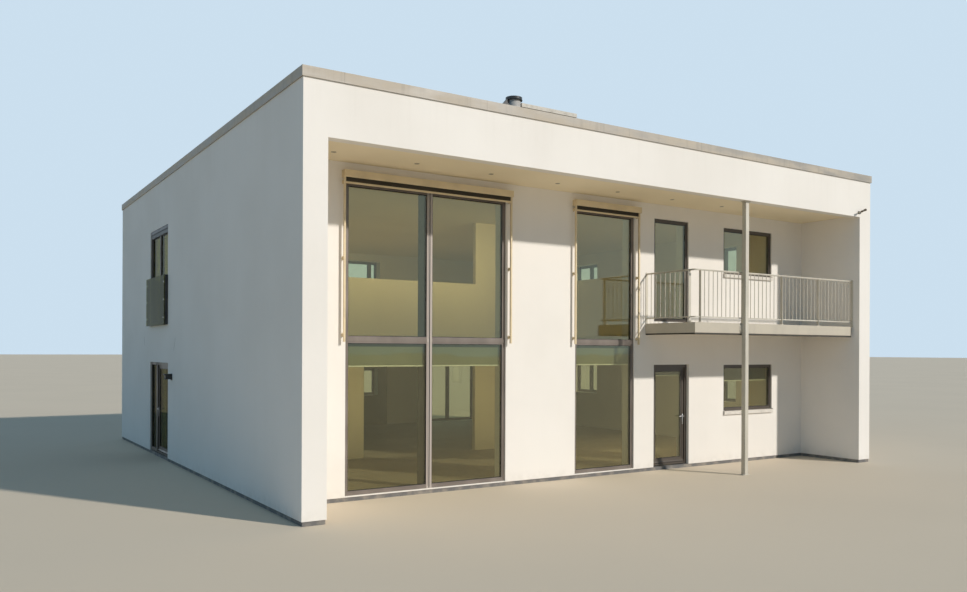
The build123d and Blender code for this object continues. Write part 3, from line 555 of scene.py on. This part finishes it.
# Awning parts: end caps with axle covers, the strip of screen, and the rails' feet, clamps and screws
def makeAwningParts():
    look = {"screen": ((0.04, 0.032, 0.02), (0.065, 0.055, 0.038)), "screenThick": 0.0008,
            "ripple": 0.0015, "capGrow": 0.002, "capThick": 0.003, "axle": 0.021, "axleBack": 0.062,
            "axleUp": 0.064, "screw": 0.0045, "thickestBar": 0.08, "clampRises": (0.112, 1.392, 2.66)}
    steel = makeCoat("screwSteel", (0.42, 0.41, 0.39), (0.3, 0.29, 0.27), 0.35, 0.8)
    fabric = makeFabric("screenWeave", *look["screen"])
    boxes = solidBoxes("awning_cassettes")
    cassettes = [box for box in boxes if box[1].z - box[0].z > look["thickestBar"]]
    bars = [box for box in boxes if box[1].z - box[0].z < look["thickestBar"]]
    grow, thick, axle = look["capGrow"], look["capThick"], look["axle"]
    caps, screws = bmesh.new(), bmesh.new()
    for (low, high), (barLow, barHigh), name in zip(cassettes, bars, ("livingScreen", "stairScreen")):
        for face, way in ((low.x, -1), (high.x, 1)):
            outer = face + way * thick
            addBox(caps, (face, low.y - grow, low.z - grow), (outer, high.y, high.z + grow), 0.0012)
            middle = Vector((outer, low.y + look["axleBack"], low.z + look["axleUp"]))
            addTurned(caps, middle, (way, 0, 0),
                      [(0, 0.006), (0.014, 0.006), (axle, 0.003), (axle + 0.002, -0.001)], 28)
            for step, up in ((-0.042, 0.038), (0.045, 0.038), (0.045, -0.045)):
                foot = middle + Vector((0, step, up))
                addRod(screws, foot, foot + Vector((way * 0.0016, 0, 0)), look["screw"], 12)
        # the strip of screen between the box and its end bar
        top, foot = low.z + 0.022, barHigh.z - 0.004
        width, height = barHigh.x - barLow.x - 0.006, top - foot
        centre = ((barLow.x + barHigh.x) / 2, (barLow.y + barHigh.y) / 2, (top + foot) / 2)
        mesh = uprightGrid(centre, width, height, 80, 6)
        for corner in mesh.verts:
            down = (top - corner.co.z) / height
            corner.co.y += look["ripple"] * math.sin(corner.co.x * 6.3) * math.sin(math.pi * down)
        bmesh.ops.solidify(mesh, geom=mesh.faces[:], thickness=look["screenThick"])
        screen = newPiece(name, mesh, fabric)
        for end in (barLow.x, barHigh.x):
            addBox(caps, (end - 0.0015, barLow.y - 0.001, barLow.z - 0.001),
                   (end + 0.0015, barHigh.y + 0.001, barHigh.z + 0.001), 0.0006)
    for low, high in solidBoxes("awning_guides"):
        addBox(caps, (low.x - 0.001, low.y - 0.001, low.z - 0.004),
               (high.x + 0.001, low.y + 0.033, low.z + 0.004), 0.001)
        for rise in look["clampRises"]:
            up, middle = low.z + rise, (low.x + high.x) / 2
            addBox(caps, (low.x - 0.0015, low.y + 0.03, up - 0.024),
                   (high.x + 0.0015, low.y + 0.036, up + 0.024), 0.001)
            addBox(caps, (low.x + 0.001, high.y - 0.004, up - 0.034),
                   (high.x - 0.001, high.y - 0.0004, up + 0.034), 0.001)
            for step in (-0.028, 0.028):
                addRod(screws, (middle, high.y - 0.004, up + step), (middle, high.y - 0.0065, up + step),
                       look["screw"], 12)
    newPiece("awningCaps", caps, coatOf("awning_cassettes"), smooth=35)
    newPiece("awningScrews", screws, steel)
    print("awning parts made")


# Balcony: bolted feet, wall flanges, cleats at the column, weld beads, and a drip under the slab coloured
# near black as painted shade
def makeBalconyParts():
    look = {"bolt": 0.007, "boltApart": 0.029, "footPlate": 0.008, "railRadius": 0.0125, "cornerBay": 0.142,
            "bays": 4, "flange": 0.034, "flangeScrews": (0.5, 2.6, 4.7), "wallPlates": (0.2, 0.86),
            "drip": 0.03, "weld": 0.005, "cleat": 0.007, "cleatReach": 0.075, "columnPlate": 0.012}
    # painted shade: the drip's near-black coat draws the dark shadow line under the slab
    dripShade = makeCoat("dripShadeCoat", (0.035, 0.03, 0.024), (0.06, 0.052, 0.042), 0.6)
    (railLow, railHigh), (slabLow, slabHigh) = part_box("handrail"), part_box("balcony_slab")
    front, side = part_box("railing_front"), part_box("railing_side")
    rail = look["railRadius"]
    firstPost, lastPost = railLow.x + rail + look["cornerBay"], front[1].x - 0.006
    pitch = (lastPost - firstPost) / look["bays"]
    frontLine, sideLine = [(box[0][i] + box[1][i]) / 2 for box, i in ((front, 1), (side, 0))]
    footTop = slabHigh.z + look["footPlate"]
    bolts = bmesh.new()
    for step in (-look["boltApart"], look["boltApart"]):
        for i in range(look["bays"]):
            addBolt(bolts, (firstPost + pitch * i + step, frontLine, footTop), (0, 0, 1), look["bolt"])
        addBolt(bolts, (sideLine, railLow.y + rail + look["cornerBay"] + step, footTop), (0, 0, 1),
                look["bolt"])
    flange = [(0, 0.005), (look["flange"] - 0.003, 0.005), (look["flange"], 0.002), (look["flange"], hair),
              (0, hair)]
    height = (railLow.z + railHigh.z) / 2
    for foot, way in (((railLow.x + rail, recessFace, height), (0, -1, 0)),
                      ((railHigh.x + hair, railLow.y + rail, height), (-1, 0, 0))):
        addTurned(bolts, foot, way, flange)
        for turn in look["flangeScrews"]:
            out = Vector((-way[1] * math.cos(turn), -way[0] * math.cos(turn), math.sin(turn)))
            start = Vector(foot) + out * 0.024 + Vector(way) * 0.005
            addRod(bolts, start, start + Vector(way) * 0.002, 0.0042, 12)
    # the last front post is held to the wall by two small plates
    for rise in look["wallPlates"]:
        up, face = slabHigh.z + rise, lastPost - 0.0095
        addBox(bolts, (face, frontLine - 0.026, up - 0.02),
               (face + 0.0033, frontLine + 0.026, up + 0.02), 0.001)
        addBolt(bolts, (face, frontLine, up), (-1, 0, 0), 0.006)

    low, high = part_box("steel_column")
    plate, top = look["columnPlate"], high.z
    middle = (low + high) / 2
    half = (high.y - low.y) / 2
    for level, way in ((plate, 1), (top - plate, -1)):
        for step in (-0.068, 0.068):
            for across in (-0.03, 0.03):
                addBolt(bolts, (middle.x + step, middle.y + across, level), (0, 0, way), 0.0085)
        for side in (-1, 1):                             # weld beads round the square tube
            along, face = half * 0.92, middle.y + side * half * 0.999
            addRod(bolts, (middle.x - along, face, level), (middle.x + along, face, level), look["weld"], 8)
            face = middle.x + side * half
            addRod(bolts, (face, middle.y - along, level), (face, middle.y + along, level), look["weld"], 8)
    under, over = slabLow.z + 0.035, slabHigh.z - 0.035
    for side in (-1, 1):                                 # angle cleats from the column to the slab
        face = middle.x + side * half
        for reach, out in ((look["cleatReach"], look["cleat"]), (look["cleat"], 0.07)):
            addBox(bolts, (face, slabLow.y - out, under),
                   (face + side * reach, slabLow.y - 0.0004, over), 0.001)
        for up in (under + 0.03, over - 0.03):
            addBolt(bolts, (face + side * 0.048, slabLow.y - look["cleat"], up), (0, -1, 0), 0.0065)
    newPiece("balconyFixings", bolts, coatOf("handrail"), smooth=35)

    # the drip under the slab's front and left edges, near black as painted shade
    mesh = bmesh.new()
    size, under = look["drip"], slabLow.z - hair
    front, left = slabLow.y + 0.008, slabLow.x + 0.004
    addBox(mesh, (slabLow.x, front, slabLow.z - size), (slabHigh.x, front + size, under), 0.002)
    addBox(mesh, (left, slabLow.y + 0.022, slabLow.z - size),
           (left + size, slabHigh.y - 0.001, under), 0.002)
    newPiece("balconyDripShade", mesh, dripShade)
    print("balcony fixings made")


# Gable window: dark head line, grey head box with its joints, and the clamps of the glass guard
def makeGableParts():
    look = {"line": 0.08, "lineOut": 0.022, "boxOut": 0.01, "boxFoot": 0.176, "joints": (0.25, 0.5, 0.75),
            "clamp": 0.026, "clampInset": 0.055, "clampUp": 0.16, "arm": 0.014}
    headCoat = makeCoat("headBoxCoat", (0.085, 0.09, 0.09), (0.16, 0.165, 0.16), 0.5)
    low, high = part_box("gable_window_frames")
    face, foot = low.x - hair, high.z - look["line"]
    mesh = bmesh.new()
    addBox(mesh, (low.x - look["lineOut"], low.y + 0.0005, foot),
           (face, high.y - 0.0005, high.z - 0.0005), 0.002)
    addBox(mesh, (low.x - 0.012, high.y - 0.028, low.z + 0.002), (face, high.y - 0.0005, foot), 0.002)
    newPiece("gableHeadLine", mesh, coatOf("gable_guard_plates"))
    mesh = bmesh.new()
    front, bottom = low.x - look["boxOut"], high.z - look["boxFoot"]
    addBox(mesh, (front, low.y + 0.004, bottom), (face, high.y - 0.03, foot - 0.002), 0.003)
    for along in look["joints"]:
        place = low.y + (high.y - low.y) * along
        addBox(mesh, (front - 0.001, place - 0.0015, bottom + 0.002),
               (low.x - 0.002, place + 0.0015, foot - 0.004))
    newPiece("gableHeadBox", mesh, headCoat)

    low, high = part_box("gable_guard_glass")
    steel = makeCoat("clampSteel", (0.45, 0.45, 0.44), (0.33, 0.33, 0.32), 0.3, 0.9)
    mesh = bmesh.new()
    button = [(0, 0.009), (look["clamp"] - 0.008, 0.009), (look["clamp"], 0.004), (look["clamp"], 0),
              (0, 0)]
    cover = [(0, 0.004), (0.016, 0.004), (0.02, 0.001), (0.02, 0), (0, 0)]
    inset = look["clampInset"]
    for along, edge in ((low.y + inset, low.y + 0.01), (high.y - inset, high.y - 0.01)):
        for up in (low.z + look["clampUp"], (low.z + high.z) / 2, high.z - look["clampUp"]):
            addTurned(mesh, (low.x + 0.0002, along, up), (-1, 0, 0), cover, 28)
            addTurned(mesh, (high.x - 0.0002, along, up), (1, 0, 0), button, 28)
            addBox(mesh, (high.x + 0.002, edge, up - look["arm"]),
                   (high.x + 0.008, along, up + look["arm"]), 0.001)
    newPiece("guardClamps", mesh, steel, smooth=35)
    print("gable parts made")


# Lever handles: bevelled plates with screws and a keyhole cylinder, a turned neck and a rounded grip
def makeHandles():
    look = {"plate": (0.034, 0.22), "thick": 0.008, "rise": 0.07, "neck": 0.0095, "standoff": 0.044,
            "grip": 0.0095, "gripLength": 0.134, "gripBow": 0.004, "gripSteps": 12, "keyDrop": 0.055,
            "screws": (-0.096, 0.098)}
    wide, tall = look["plate"]
    thick, neck, grip, steps = look["thick"], look["neck"], look["grip"], look["gripSteps"]
    reach, lock = look["standoff"] - thick, -look["keyDrop"]
    for name, body, along in doors:
        mesh = bmesh.new()
        out, node = 1 - along, body + "_handles"
        boxes = solidBoxes(node)
        leafMiddle = sum(box[0][out] + box[1][out] for box in boxes) / 4
        for low, high in boxes:
            way = 1 if low[out] > leafMiddle else -1
            face = low[out] if way > 0 else high[out]
            middle, height = high[along] - wide / 2, (low.z + high.z) / 2
            outward = tuple(way if i == out else 0 for i in range(3))

            def at(place, depth, up):
                point = [0, 0, height + up]
                point[along], point[out] = middle + place, face + way * depth
                return tuple(point)

            def boxAt(half, depths, heights, bevel=0.0):
                addBox(mesh, at(-half, depths[0], heights[0]), at(half, depths[1], heights[1]), bevel)

            boxAt(wide / 2, (0, thick), (-tall / 2, tall / 2), 0.0035)
            for up in look["screws"]:
                addTurned(mesh, at(0, thick, up), outward,
                          [(0, 0.0006), (0.003, 0.0012), (0.0046, 0.0004), (0.0046, 0)], 16)
            addTurned(mesh, at(0, thick, look["rise"]), outward,
                      [(0.0155, 0), (0.0155, 0.004), (0.0135, 0.007), (neck, 0.009), (neck, reach - 0.004),
                       (0.0105, reach + 0.004)], 28)
            spots = [at(0.004 - step * look["gripLength"] / steps,
                        look["standoff"] + look["gripBow"] * math.sin(step / steps * math.pi),
                        look["rise"]) for step in range(steps + 1)]
            for first, second in zip(spots, spots[1:]):
                addRod(mesh, first, second, grip, 20)
            addBall(mesh, spots[-1], grip)
            addBall(mesh, spots[0], grip * 1.05)
            addTurned(mesh, at(0, thick, lock), outward,
                      [(0, 0.0028), (0.0072, 0.0028), (0.0084, 0.0016), (0.0084, 0)], 28)
            boxAt(0.005, (thick, thick + 0.0022), (lock - 0.024, lock), 0.001)
            boxAt(0.0007, (thick + 0.0026, thick + 0.0032), (lock - 0.0045, lock + 0.0045))
        newPiece(name + "Handles", mesh, coatOf("patio_door_handles"), (node,), body, 35)
    print("handles made")


# Weather bars on the door leaves, and the ends of the window sills
def makeDoorParts():
    look = {"barUp": 0.028, "barTall": 0.034, "barOut": 0.02, "barLip": 0.008, "barIn": 0.02,
            "endThick": 0.004}
    for name, body, along in doors:
        low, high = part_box(body + "_leaf")
        mesh = bmesh.new()
        corners, reach = [], look["barOut"]
        for depth, up in ((hair, look["barTall"]), (reach, look["barLip"]), (reach, 0), (hair, 0)):
            point = [0, 0, low.z + look["barUp"] + up]
            point[along], point[1 - along] = low[along] + look["barIn"], low[1 - along] - depth
            corners.append(mesh.verts.new(point))
        pushOut(mesh, [mesh.faces.new(corners)], along, high[along] - low[along] - 2 * look["barIn"])
        newPiece(name + "Trim", mesh, coatOf("patio_door_leaf"), body=body)
    thick = look["endThick"]
    mesh = bmesh.new()
    for low, high in solidBoxes("window_sills"):
        for start in (low.x + 0.0006, high.x - 0.0006 - thick):
            addBox(mesh, (start, low.y + 0.001, high.z - 0.024),
                   (start + thick, recessFace, high.z + 0.016), 0.001)
    newPiece("sillEnds", mesh, coatOf("window_sills"))
    print("door trims made")


# Roof: lid and seams of the pale box, the felt's upstand, bands and dark cowl of the vent
def makeRoofParts():
    look = {"lid": 0.045, "over": 0.022, "lip": 0.004, "lipDrop": 0.028, "seam": 0.006,
            "seams": (0.33, 0.66), "skirt": 0.05, "upstand": 0.18, "upstandThick": 0.006,
            "strip": 0.06, "barHeight": 0.036, "band": 0.005, "bands": (0.36, 0.72),
            "capRadius": 0.15, "capScrews": 4}
    low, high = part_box("roof_box")
    mesh = bmesh.new()

    def addLevel(grow, bottom, top, bevel):
        addBox(mesh, (low.x - grow, low.y - grow, bottom), (high.x + grow, high.y + grow, top), bevel)

    over, lip, foot = look["over"], look["lip"], high.z - look["lid"]
    left, right, front, back = low.x - over, high.x + over, low.y - over, high.y + over
    addLevel(over, foot, high.z - 0.0005, 0.006)
    for start, end in (((left, front), (right, front + lip)), ((left, front), (left + lip, back)),
                       ((right - lip, front), (right, back)), ((left, back - lip), (right, back))):
        addBox(mesh, (*start, foot - look["lipDrop"]), (*end, foot + 0.004), 0.001)
    for level in look["seams"]:
        addLevel(look["seam"], low.z + level, low.z + level + 0.022, 0.003)
    for x in (low.x, high.x):
        for y in (low.y, high.y):
            addBox(mesh, (x - 0.006, y - 0.006, low.z + 0.002), (x + 0.006, y + 0.006, foot), 0.003)
    addLevel(look["skirt"], low.z + 0.0005, low.z + 0.018, 0.004)
    newPiece("roofBoxTrim", mesh, coatOf("roof_box"))

    # felt turned up inside the parapet, with a clamping bar over its edge
    low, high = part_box("roof_slab")
    felt, bar = bmesh.new(), bmesh.new()
    clear = 0.0006
    inner, strip = [(low + Vector((gap, gap, 0)), high - Vector((gap, gap, 0))) for gap in (clear, 0.0071)]
    addRing(felt, inner, 2, roofTop + clear, look["upstandThick"], look["upstand"])
    addRing(felt, strip, 2, roofTop + clear, look["strip"], 0.012, 0.005)
    addRing(bar, inner, 2, roofTop + look["upstand"] + 0.001, 0.009, look["barHeight"], 0.002)
    newPiece("roofUpstand", felt, coatOf("roof_slab"))
    newPiece("roofClampBar", bar, coatOf("handrail"))

    low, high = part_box("vent_pipe")
    x, y = ((low + high) / 2)[:2]
    radius, band = (high.x - low.x) / 2, look["band"]
    mesh = bmesh.new()

    def addClip(up, profile):
        addTurned(mesh, (x, y, low.z + up), (0, 0, 1), [(radius + out, rise) for out, rise in profile],
                  48, True)

    addClip(0, [(clear, clear), (0.055, clear), (0.055, 0.006), (0.018, 0.03), (0.008, 0.055),
                (clear, 0.06)])
    for up in look["bands"]:
        addClip(up, [(0.0005, 0), (band, 0.004), (band, 0.026), (0.0005, 0.03)])
        addBox(mesh, (x - 0.012, y - radius - 0.016, low.z + up + 0.006),
               (x + 0.012, y - radius + 0.002, low.z + up + 0.024), 0.002)
    newPiece("ventBands", mesh, coatOf("vent_pipe"), smooth=35)
    low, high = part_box("vent_cap")
    mesh = bmesh.new()
    lipLine = [(-0.006, -0.078), (0.004, -0.08), (0.006, -0.07), (0.0005, -0.062)]
    addTurned(mesh, (x, y, low.z), (0, 0, 1),
              [(look["capRadius"] + out, high.z - low.z + up) for out, up in lipLine], 56, True)
    for turn in range(look["capScrews"]):
        angle = turn * 2 * math.pi / look["capScrews"] + 0.6
        spot = Vector((x + math.cos(angle) * 0.11, y + math.sin(angle) * 0.11, high.z - 0.0185))
        addRod(mesh, spot, spot + Vector((0, 0, 0.008)), 0.007, 6)
    newPiece("ventCapTrim", mesh, coatOf("vent_cap"), smooth=35)
    print("roof parts made")


# Lamps: downlight rings with sunk lenses, hooded wall lamp, twin floodlight with fins
def makeLamps():
    look = {"ring": ((0.4, 0.34, 0.25), (0.32, 0.27, 0.19)), "lens": ((0.6, 0.54, 0.42), (0.5, 0.45, 0.34)),
            "body": ((0.17, 0.13, 0.09), (0.26, 0.21, 0.15)), "wallPlate": 0.014,
            "floodHeight": 5.735, "floodAside": 0.0175, "fins": 5, "finPitch": 0.009,
            "heads": ((0.105, (-2, -1, -0.4)), (0.135, (2, -1, 1)))}
    ringCoat = makeCoat("downlightRing", *look["ring"], 0.35)
    lensCoat = makeCoat("lampLens", *look["lens"], 0.15)
    rings, lenses = bmesh.new(), bmesh.new()
    for low, high in solidBoxes("downlights"):
        centre = ((low.x + high.x) / 2, (low.y + high.y) / 2, high.z)
        radius = (high.x - low.x) / 2
        addTurned(rings, centre, (0, 0, -1),
                  [(radius - 0.001, 0), (radius, 0.003), (radius - 0.004, 0.006), (radius * 0.72, 0.0045),
                   (radius * 0.66, 0.001)], 40, True)
        addTurned(lenses, centre, (0, 0, -1),
                  [(0, 0.0012), (radius * 0.5, 0.001), (radius * 0.665, 0.0006), (radius * 0.665, 0)], 32)
    newPiece("downlightRings", rings, ringCoat, ("downlights",), smooth=35)
    newPiece("downlightLenses", lenses, lensCoat, ("downlights",), smooth=35)

    low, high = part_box("wall_lamp")
    plate, side = high.x - look["wallPlate"], 0.002
    front, left, right, top = high.x - 0.012, low.y + side, high.y - side, high.z - 0.002
    mesh = bmesh.new()
    addBox(mesh, (plate, low.y, low.z), high, 0.003)
    addBox(mesh, (low.x, left, high.z - 0.03), (front, right, top), 0.005)
    for start in (left, high.y - 0.008):
        addBox(mesh, (low.x + 0.02, start, low.z + 0.03), (front, start + 0.006, high.z - 0.026), 0.001)
    addBox(mesh, (low.x + 0.02, left, low.z + 0.022), (front, right, low.z + 0.034), 0.002)
    for y in (low.y + 0.025, high.y - 0.025):
        addRod(mesh, (plate, y, low.z + 0.011), (plate - 0.0025, y, low.z + 0.011), 0.004, 12)
    newPiece("wallLampHood", mesh, coatOf("wall_lamp"), ("wall_lamp",))
    mesh = bmesh.new()
    addBox(mesh, (low.x + 0.028, low.y + 0.01, low.z + 0.035),
           (high.x - 0.02, high.y - 0.01, high.z - 0.031), 0.006)
    newPiece("wallLampGlass", mesh, lensCoat, ("wall_lamp",))

    bodyCoat = makeCoat("floodlightBody", *look["body"], 0.45)
    low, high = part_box("corner_floodlight")
    mesh, glass = bmesh.new(), bmesh.new()
    plate = Vector(((low.x + high.x) / 2 - look["floodAside"], high.y, look["floodHeight"]))
    addTurned(mesh, plate, (0, -1, 0), [(0.034, hair), (0.034, 0.01), (0.028, 0.018), (0.012, 0.022),
                                        (0.011, 0.04), (0, 0.044)], 28)
    for length, aim in look["heads"]:
        aim = Vector(aim).normalized()
        joint = plate + Vector((0, -0.034, 0))
        start = joint + aim * 0.026
        addRod(mesh, joint, start, 0.008, 14)
        addBall(mesh, joint + aim * 0.012, 0.013, 16, 10)
        addTurned(mesh, start, aim, [(0, 0), (0.012, 0), (0.016, 0.01), (0.017, length * 0.52),
                                     (0.0262, length * 0.66), (0.027, length), (0.024, length + 0.001),
                                     (0.0235, length - 0.012), (0, length - 0.012)], 32)
        for i in range(look["fins"]):                    # cooling fins behind the head
            addTurned(mesh, start + aim * (0.012 + i * look["finPitch"]), aim,
                      [(0.015, 0), (0.0225, 0.0006), (0.0225, 0.003), (0.015, 0.0036)], 24, True)
        addTurned(glass, start + aim * (length - 0.01), aim,
                  [(0, 0.0045), (0.014, 0.0035), (0.0232, 0.0004), (0.0232, -0.001)], 28)
    newPiece("floodlightHeads", mesh, bodyCoat, ("corner_floodlight",), smooth=35)
    newPiece("floodlightLenses", glass, lensCoat, ("corner_floodlight",), smooth=35)
    print("lamps made")


# Every CAD node gets its material
def dressNodes():
    paint(makeRender(), "back_wall", "front_wall", "left_wall", "right_wall", "fascia_beam")
    paint(makePlinth(), "plinth")
    paint(makePlaster(), "gallery_parapet", "ground_wall", "upper_floor", "roof_slab")
    paint(makeTiles(), "ground_floor")
    paint(makeCapping(), "capping")
    paint(makeCoat("postCoat", (0.045, 0.04, 0.024), (0.075, 0.066, 0.045), 0.5), "window_post")
    paint(makeFrames(), "back_window", "front_window", "gable_window", "right_window", "patio_door",
          "side_door")
    paint(makeGlass("doubleGlazing", (0.9, 0.91, 0.8), 0.075, 0.4), "back_window_glass",
          "front_window_glass", "right_window_glass", "patio_door_glass")
    paint(makeGlass("gableGlazing", (0.58, 0.62, 0.34), 0.05, 0.14), "gable_window_glass",
          "side_door_glass")
    paint(makeGlass("guardGlass", (0.4, 0.4, 0.15), 0.05, 0.1), "gable_guard_glass")
    paint(makeAwning(), "awning")
    paint(makeGalvanised(), "handrail", "railing", "steel_column")
    paint(makeConcrete(), "balcony_slab")
    paint(makeCoat("sillCoat", (0.74, 0.69, 0.62), (0.56, 0.51, 0.45), 0.5), "window_sills")
    paint(makeCoat("blackCoat", (0.014, 0.014, 0.014), (0.035, 0.035, 0.034), 0.38),
          "vent_cap", "wall_lamp", "gable_guard_plates")
    paint(makeCoat("roofBoxCoat", (0.62, 0.57, 0.49), (0.42, 0.38, 0.32), 0.55), "roof_box")
    paint(makeCoat("ventPlastic", (0.5, 0.48, 0.45), (0.35, 0.33, 0.31), 0.6), "vent_pipe")
    paint(makeCoat("lampWhite", (0.78, 0.77, 0.74), (0.6, 0.58, 0.54), 0.4),
          "downlights", "corner_floodlight")
    paint(makeCoat("handleSteel", (0.52, 0.51, 0.5), (0.4, 0.39, 0.38), 0.28, 0.9),
          "patio_door_handles", "side_door_handles")
    paint(makeFabric("blindFabric", (0.3, 0.3, 0.19), (0.22, 0.22, 0.14)),
          "roller_blinds", "patio_door_blind")
    print("nodes dressed")


# Studio: sandy floor, plain sky, the sun, soft light on the shaded gable and warm light in the rooms
def addLight(name, kind, strength, colour):
    lamp = bpy.data.lights.new(name, kind)
    lamp.energy = strength
    lamp.color = colour
    return newObject(name, lamp)


def buildStudio():
    look = {"floor": (0.67, 0.57, 0.44), "backdrop": (0.6, 0.74, 0.86), "fill": (0.115, 0.2, 0.29),
            "floorSize": 400, "roomColour": (1.0, 0.88, 0.56), "roomSpread": 150,
            # name, the way it shines, strength, colour, angle in radians
            "suns": (("keyLight", (-0.897, 1.551, -1.03), 3.06, (1.0, 0.955, 0.89), 0.035),
                     ("gableLight", (1, 0.2, -0.25), 0.2, (0.2, 0.6, 1.0), 1.2)),
            # name, centre, size, lean in degrees, power
            "rooms": (("livingLight", (-2.6, -4.9, 4.6), (7.0, 1.2), 90, 22),
                      ("lowerLight", (-2.6, -4.9, 1.5), (7.0, 1.2), 90, 10),
                      ("landingLight", (-1.5, 2.6, 5.55), (9.0, 6.0), 0, 26),
                      ("kitchenLight", (3.6, -3.0, 2.8), (4.0, 3.0), 0, 32),
                      ("upperLight", (4.0, -3.0, 5.55), (4.0, 3.0), 0, 8))}
    mesh = bmesh.new()
    bmesh.ops.create_grid(mesh, x_segments=4, y_segments=4, size=look["floorSize"])
    floor = newObject("studioFloor", bpy.data.meshes.new("studioFloor"))
    mesh.to_mesh(floor.data)
    mesh.free()
    place = startMaterial("floorPaint")
    worn = tuple(level * 0.97 for level in look["floor"])
    tone = place.tint(noise(place, 0.2, 3).fade(0.3, 0.7), look["floor"], worn)
    floor.data.materials.append(finishMaterial(place, tone, 0.9))

    world = bpy.data.worlds.new("studioAir")
    bpy.context.scene.world = world
    world.use_nodes = True
    world.node_tree.nodes.clear()
    start = Link(world.node_tree)
    seen = start.node("LightPath", out="Is Camera Ray")
    for ray in ("Is Glossy Ray", "Is Transmission Ray"):
        seen = seen.largest(start.node("LightPath", out=ray))
    background = start.node("Background", {}, {"Color": start.tint(seen, look["fill"], look["backdrop"]),
                                               "Strength": 1.0})
    start.node("OutputWorld", {}, {"Surface": background})

    for name, travel, strength, colour, spread in look["suns"]:
        sun = addLight(name, "SUN", strength, colour)
        sun.data.angle = spread
        sun.rotation_euler = Vector(travel).to_track_quat("-Z", "Y").to_euler()
    for name, centre, size, lean, power in look["rooms"]:
        room = addLight(name, "AREA", power, look["roomColour"])
        room.data.shape = "RECTANGLE"
        room.data.size, room.data.size_y = size
        room.data.spread = math.radians(look["roomSpread"] - lean)
        room.location = centre
        room.rotation_euler = (math.radians(lean), 0, 0)
        room.visible_camera = False
        room.visible_glossy = False
    print("studio built")


# Camera at the photographer's place
def placeCamera():
    look = {"place": (-11.2475, -18.52, 2.539), "turn": -0.575, "lean": 0.0042,
            "settings": {"lens": 31.34, "sensor_width": 36.0, "shift_y": 0.0564, "clip_end": 1000}}
    data = bpy.data.cameras.new("photoView")
    for name, value in look["settings"].items():
        setattr(data, name, value)
    camera = newObject("photoView", data)
    level = Matrix.Rotation(look["turn"], 4, "Z") @ Matrix.Rotation(math.pi / 2, 4, "X")
    camera.matrix_world = (Matrix.Translation(look["place"]) @ level
                           @ Matrix.Rotation(look["lean"], 4, "Z"))
    bpy.context.scene.camera = camera
    bpy.context.scene.view_settings.view_transform = "Standard"


placeCamera()
buildStudio()
dressNodes()
makeSeals()
makeBlinds()
makeAwningParts()
makeBalconyParts()
makeGableParts()
makeHandles()
makeDoorParts()
makeRoofParts()
makeLamps()
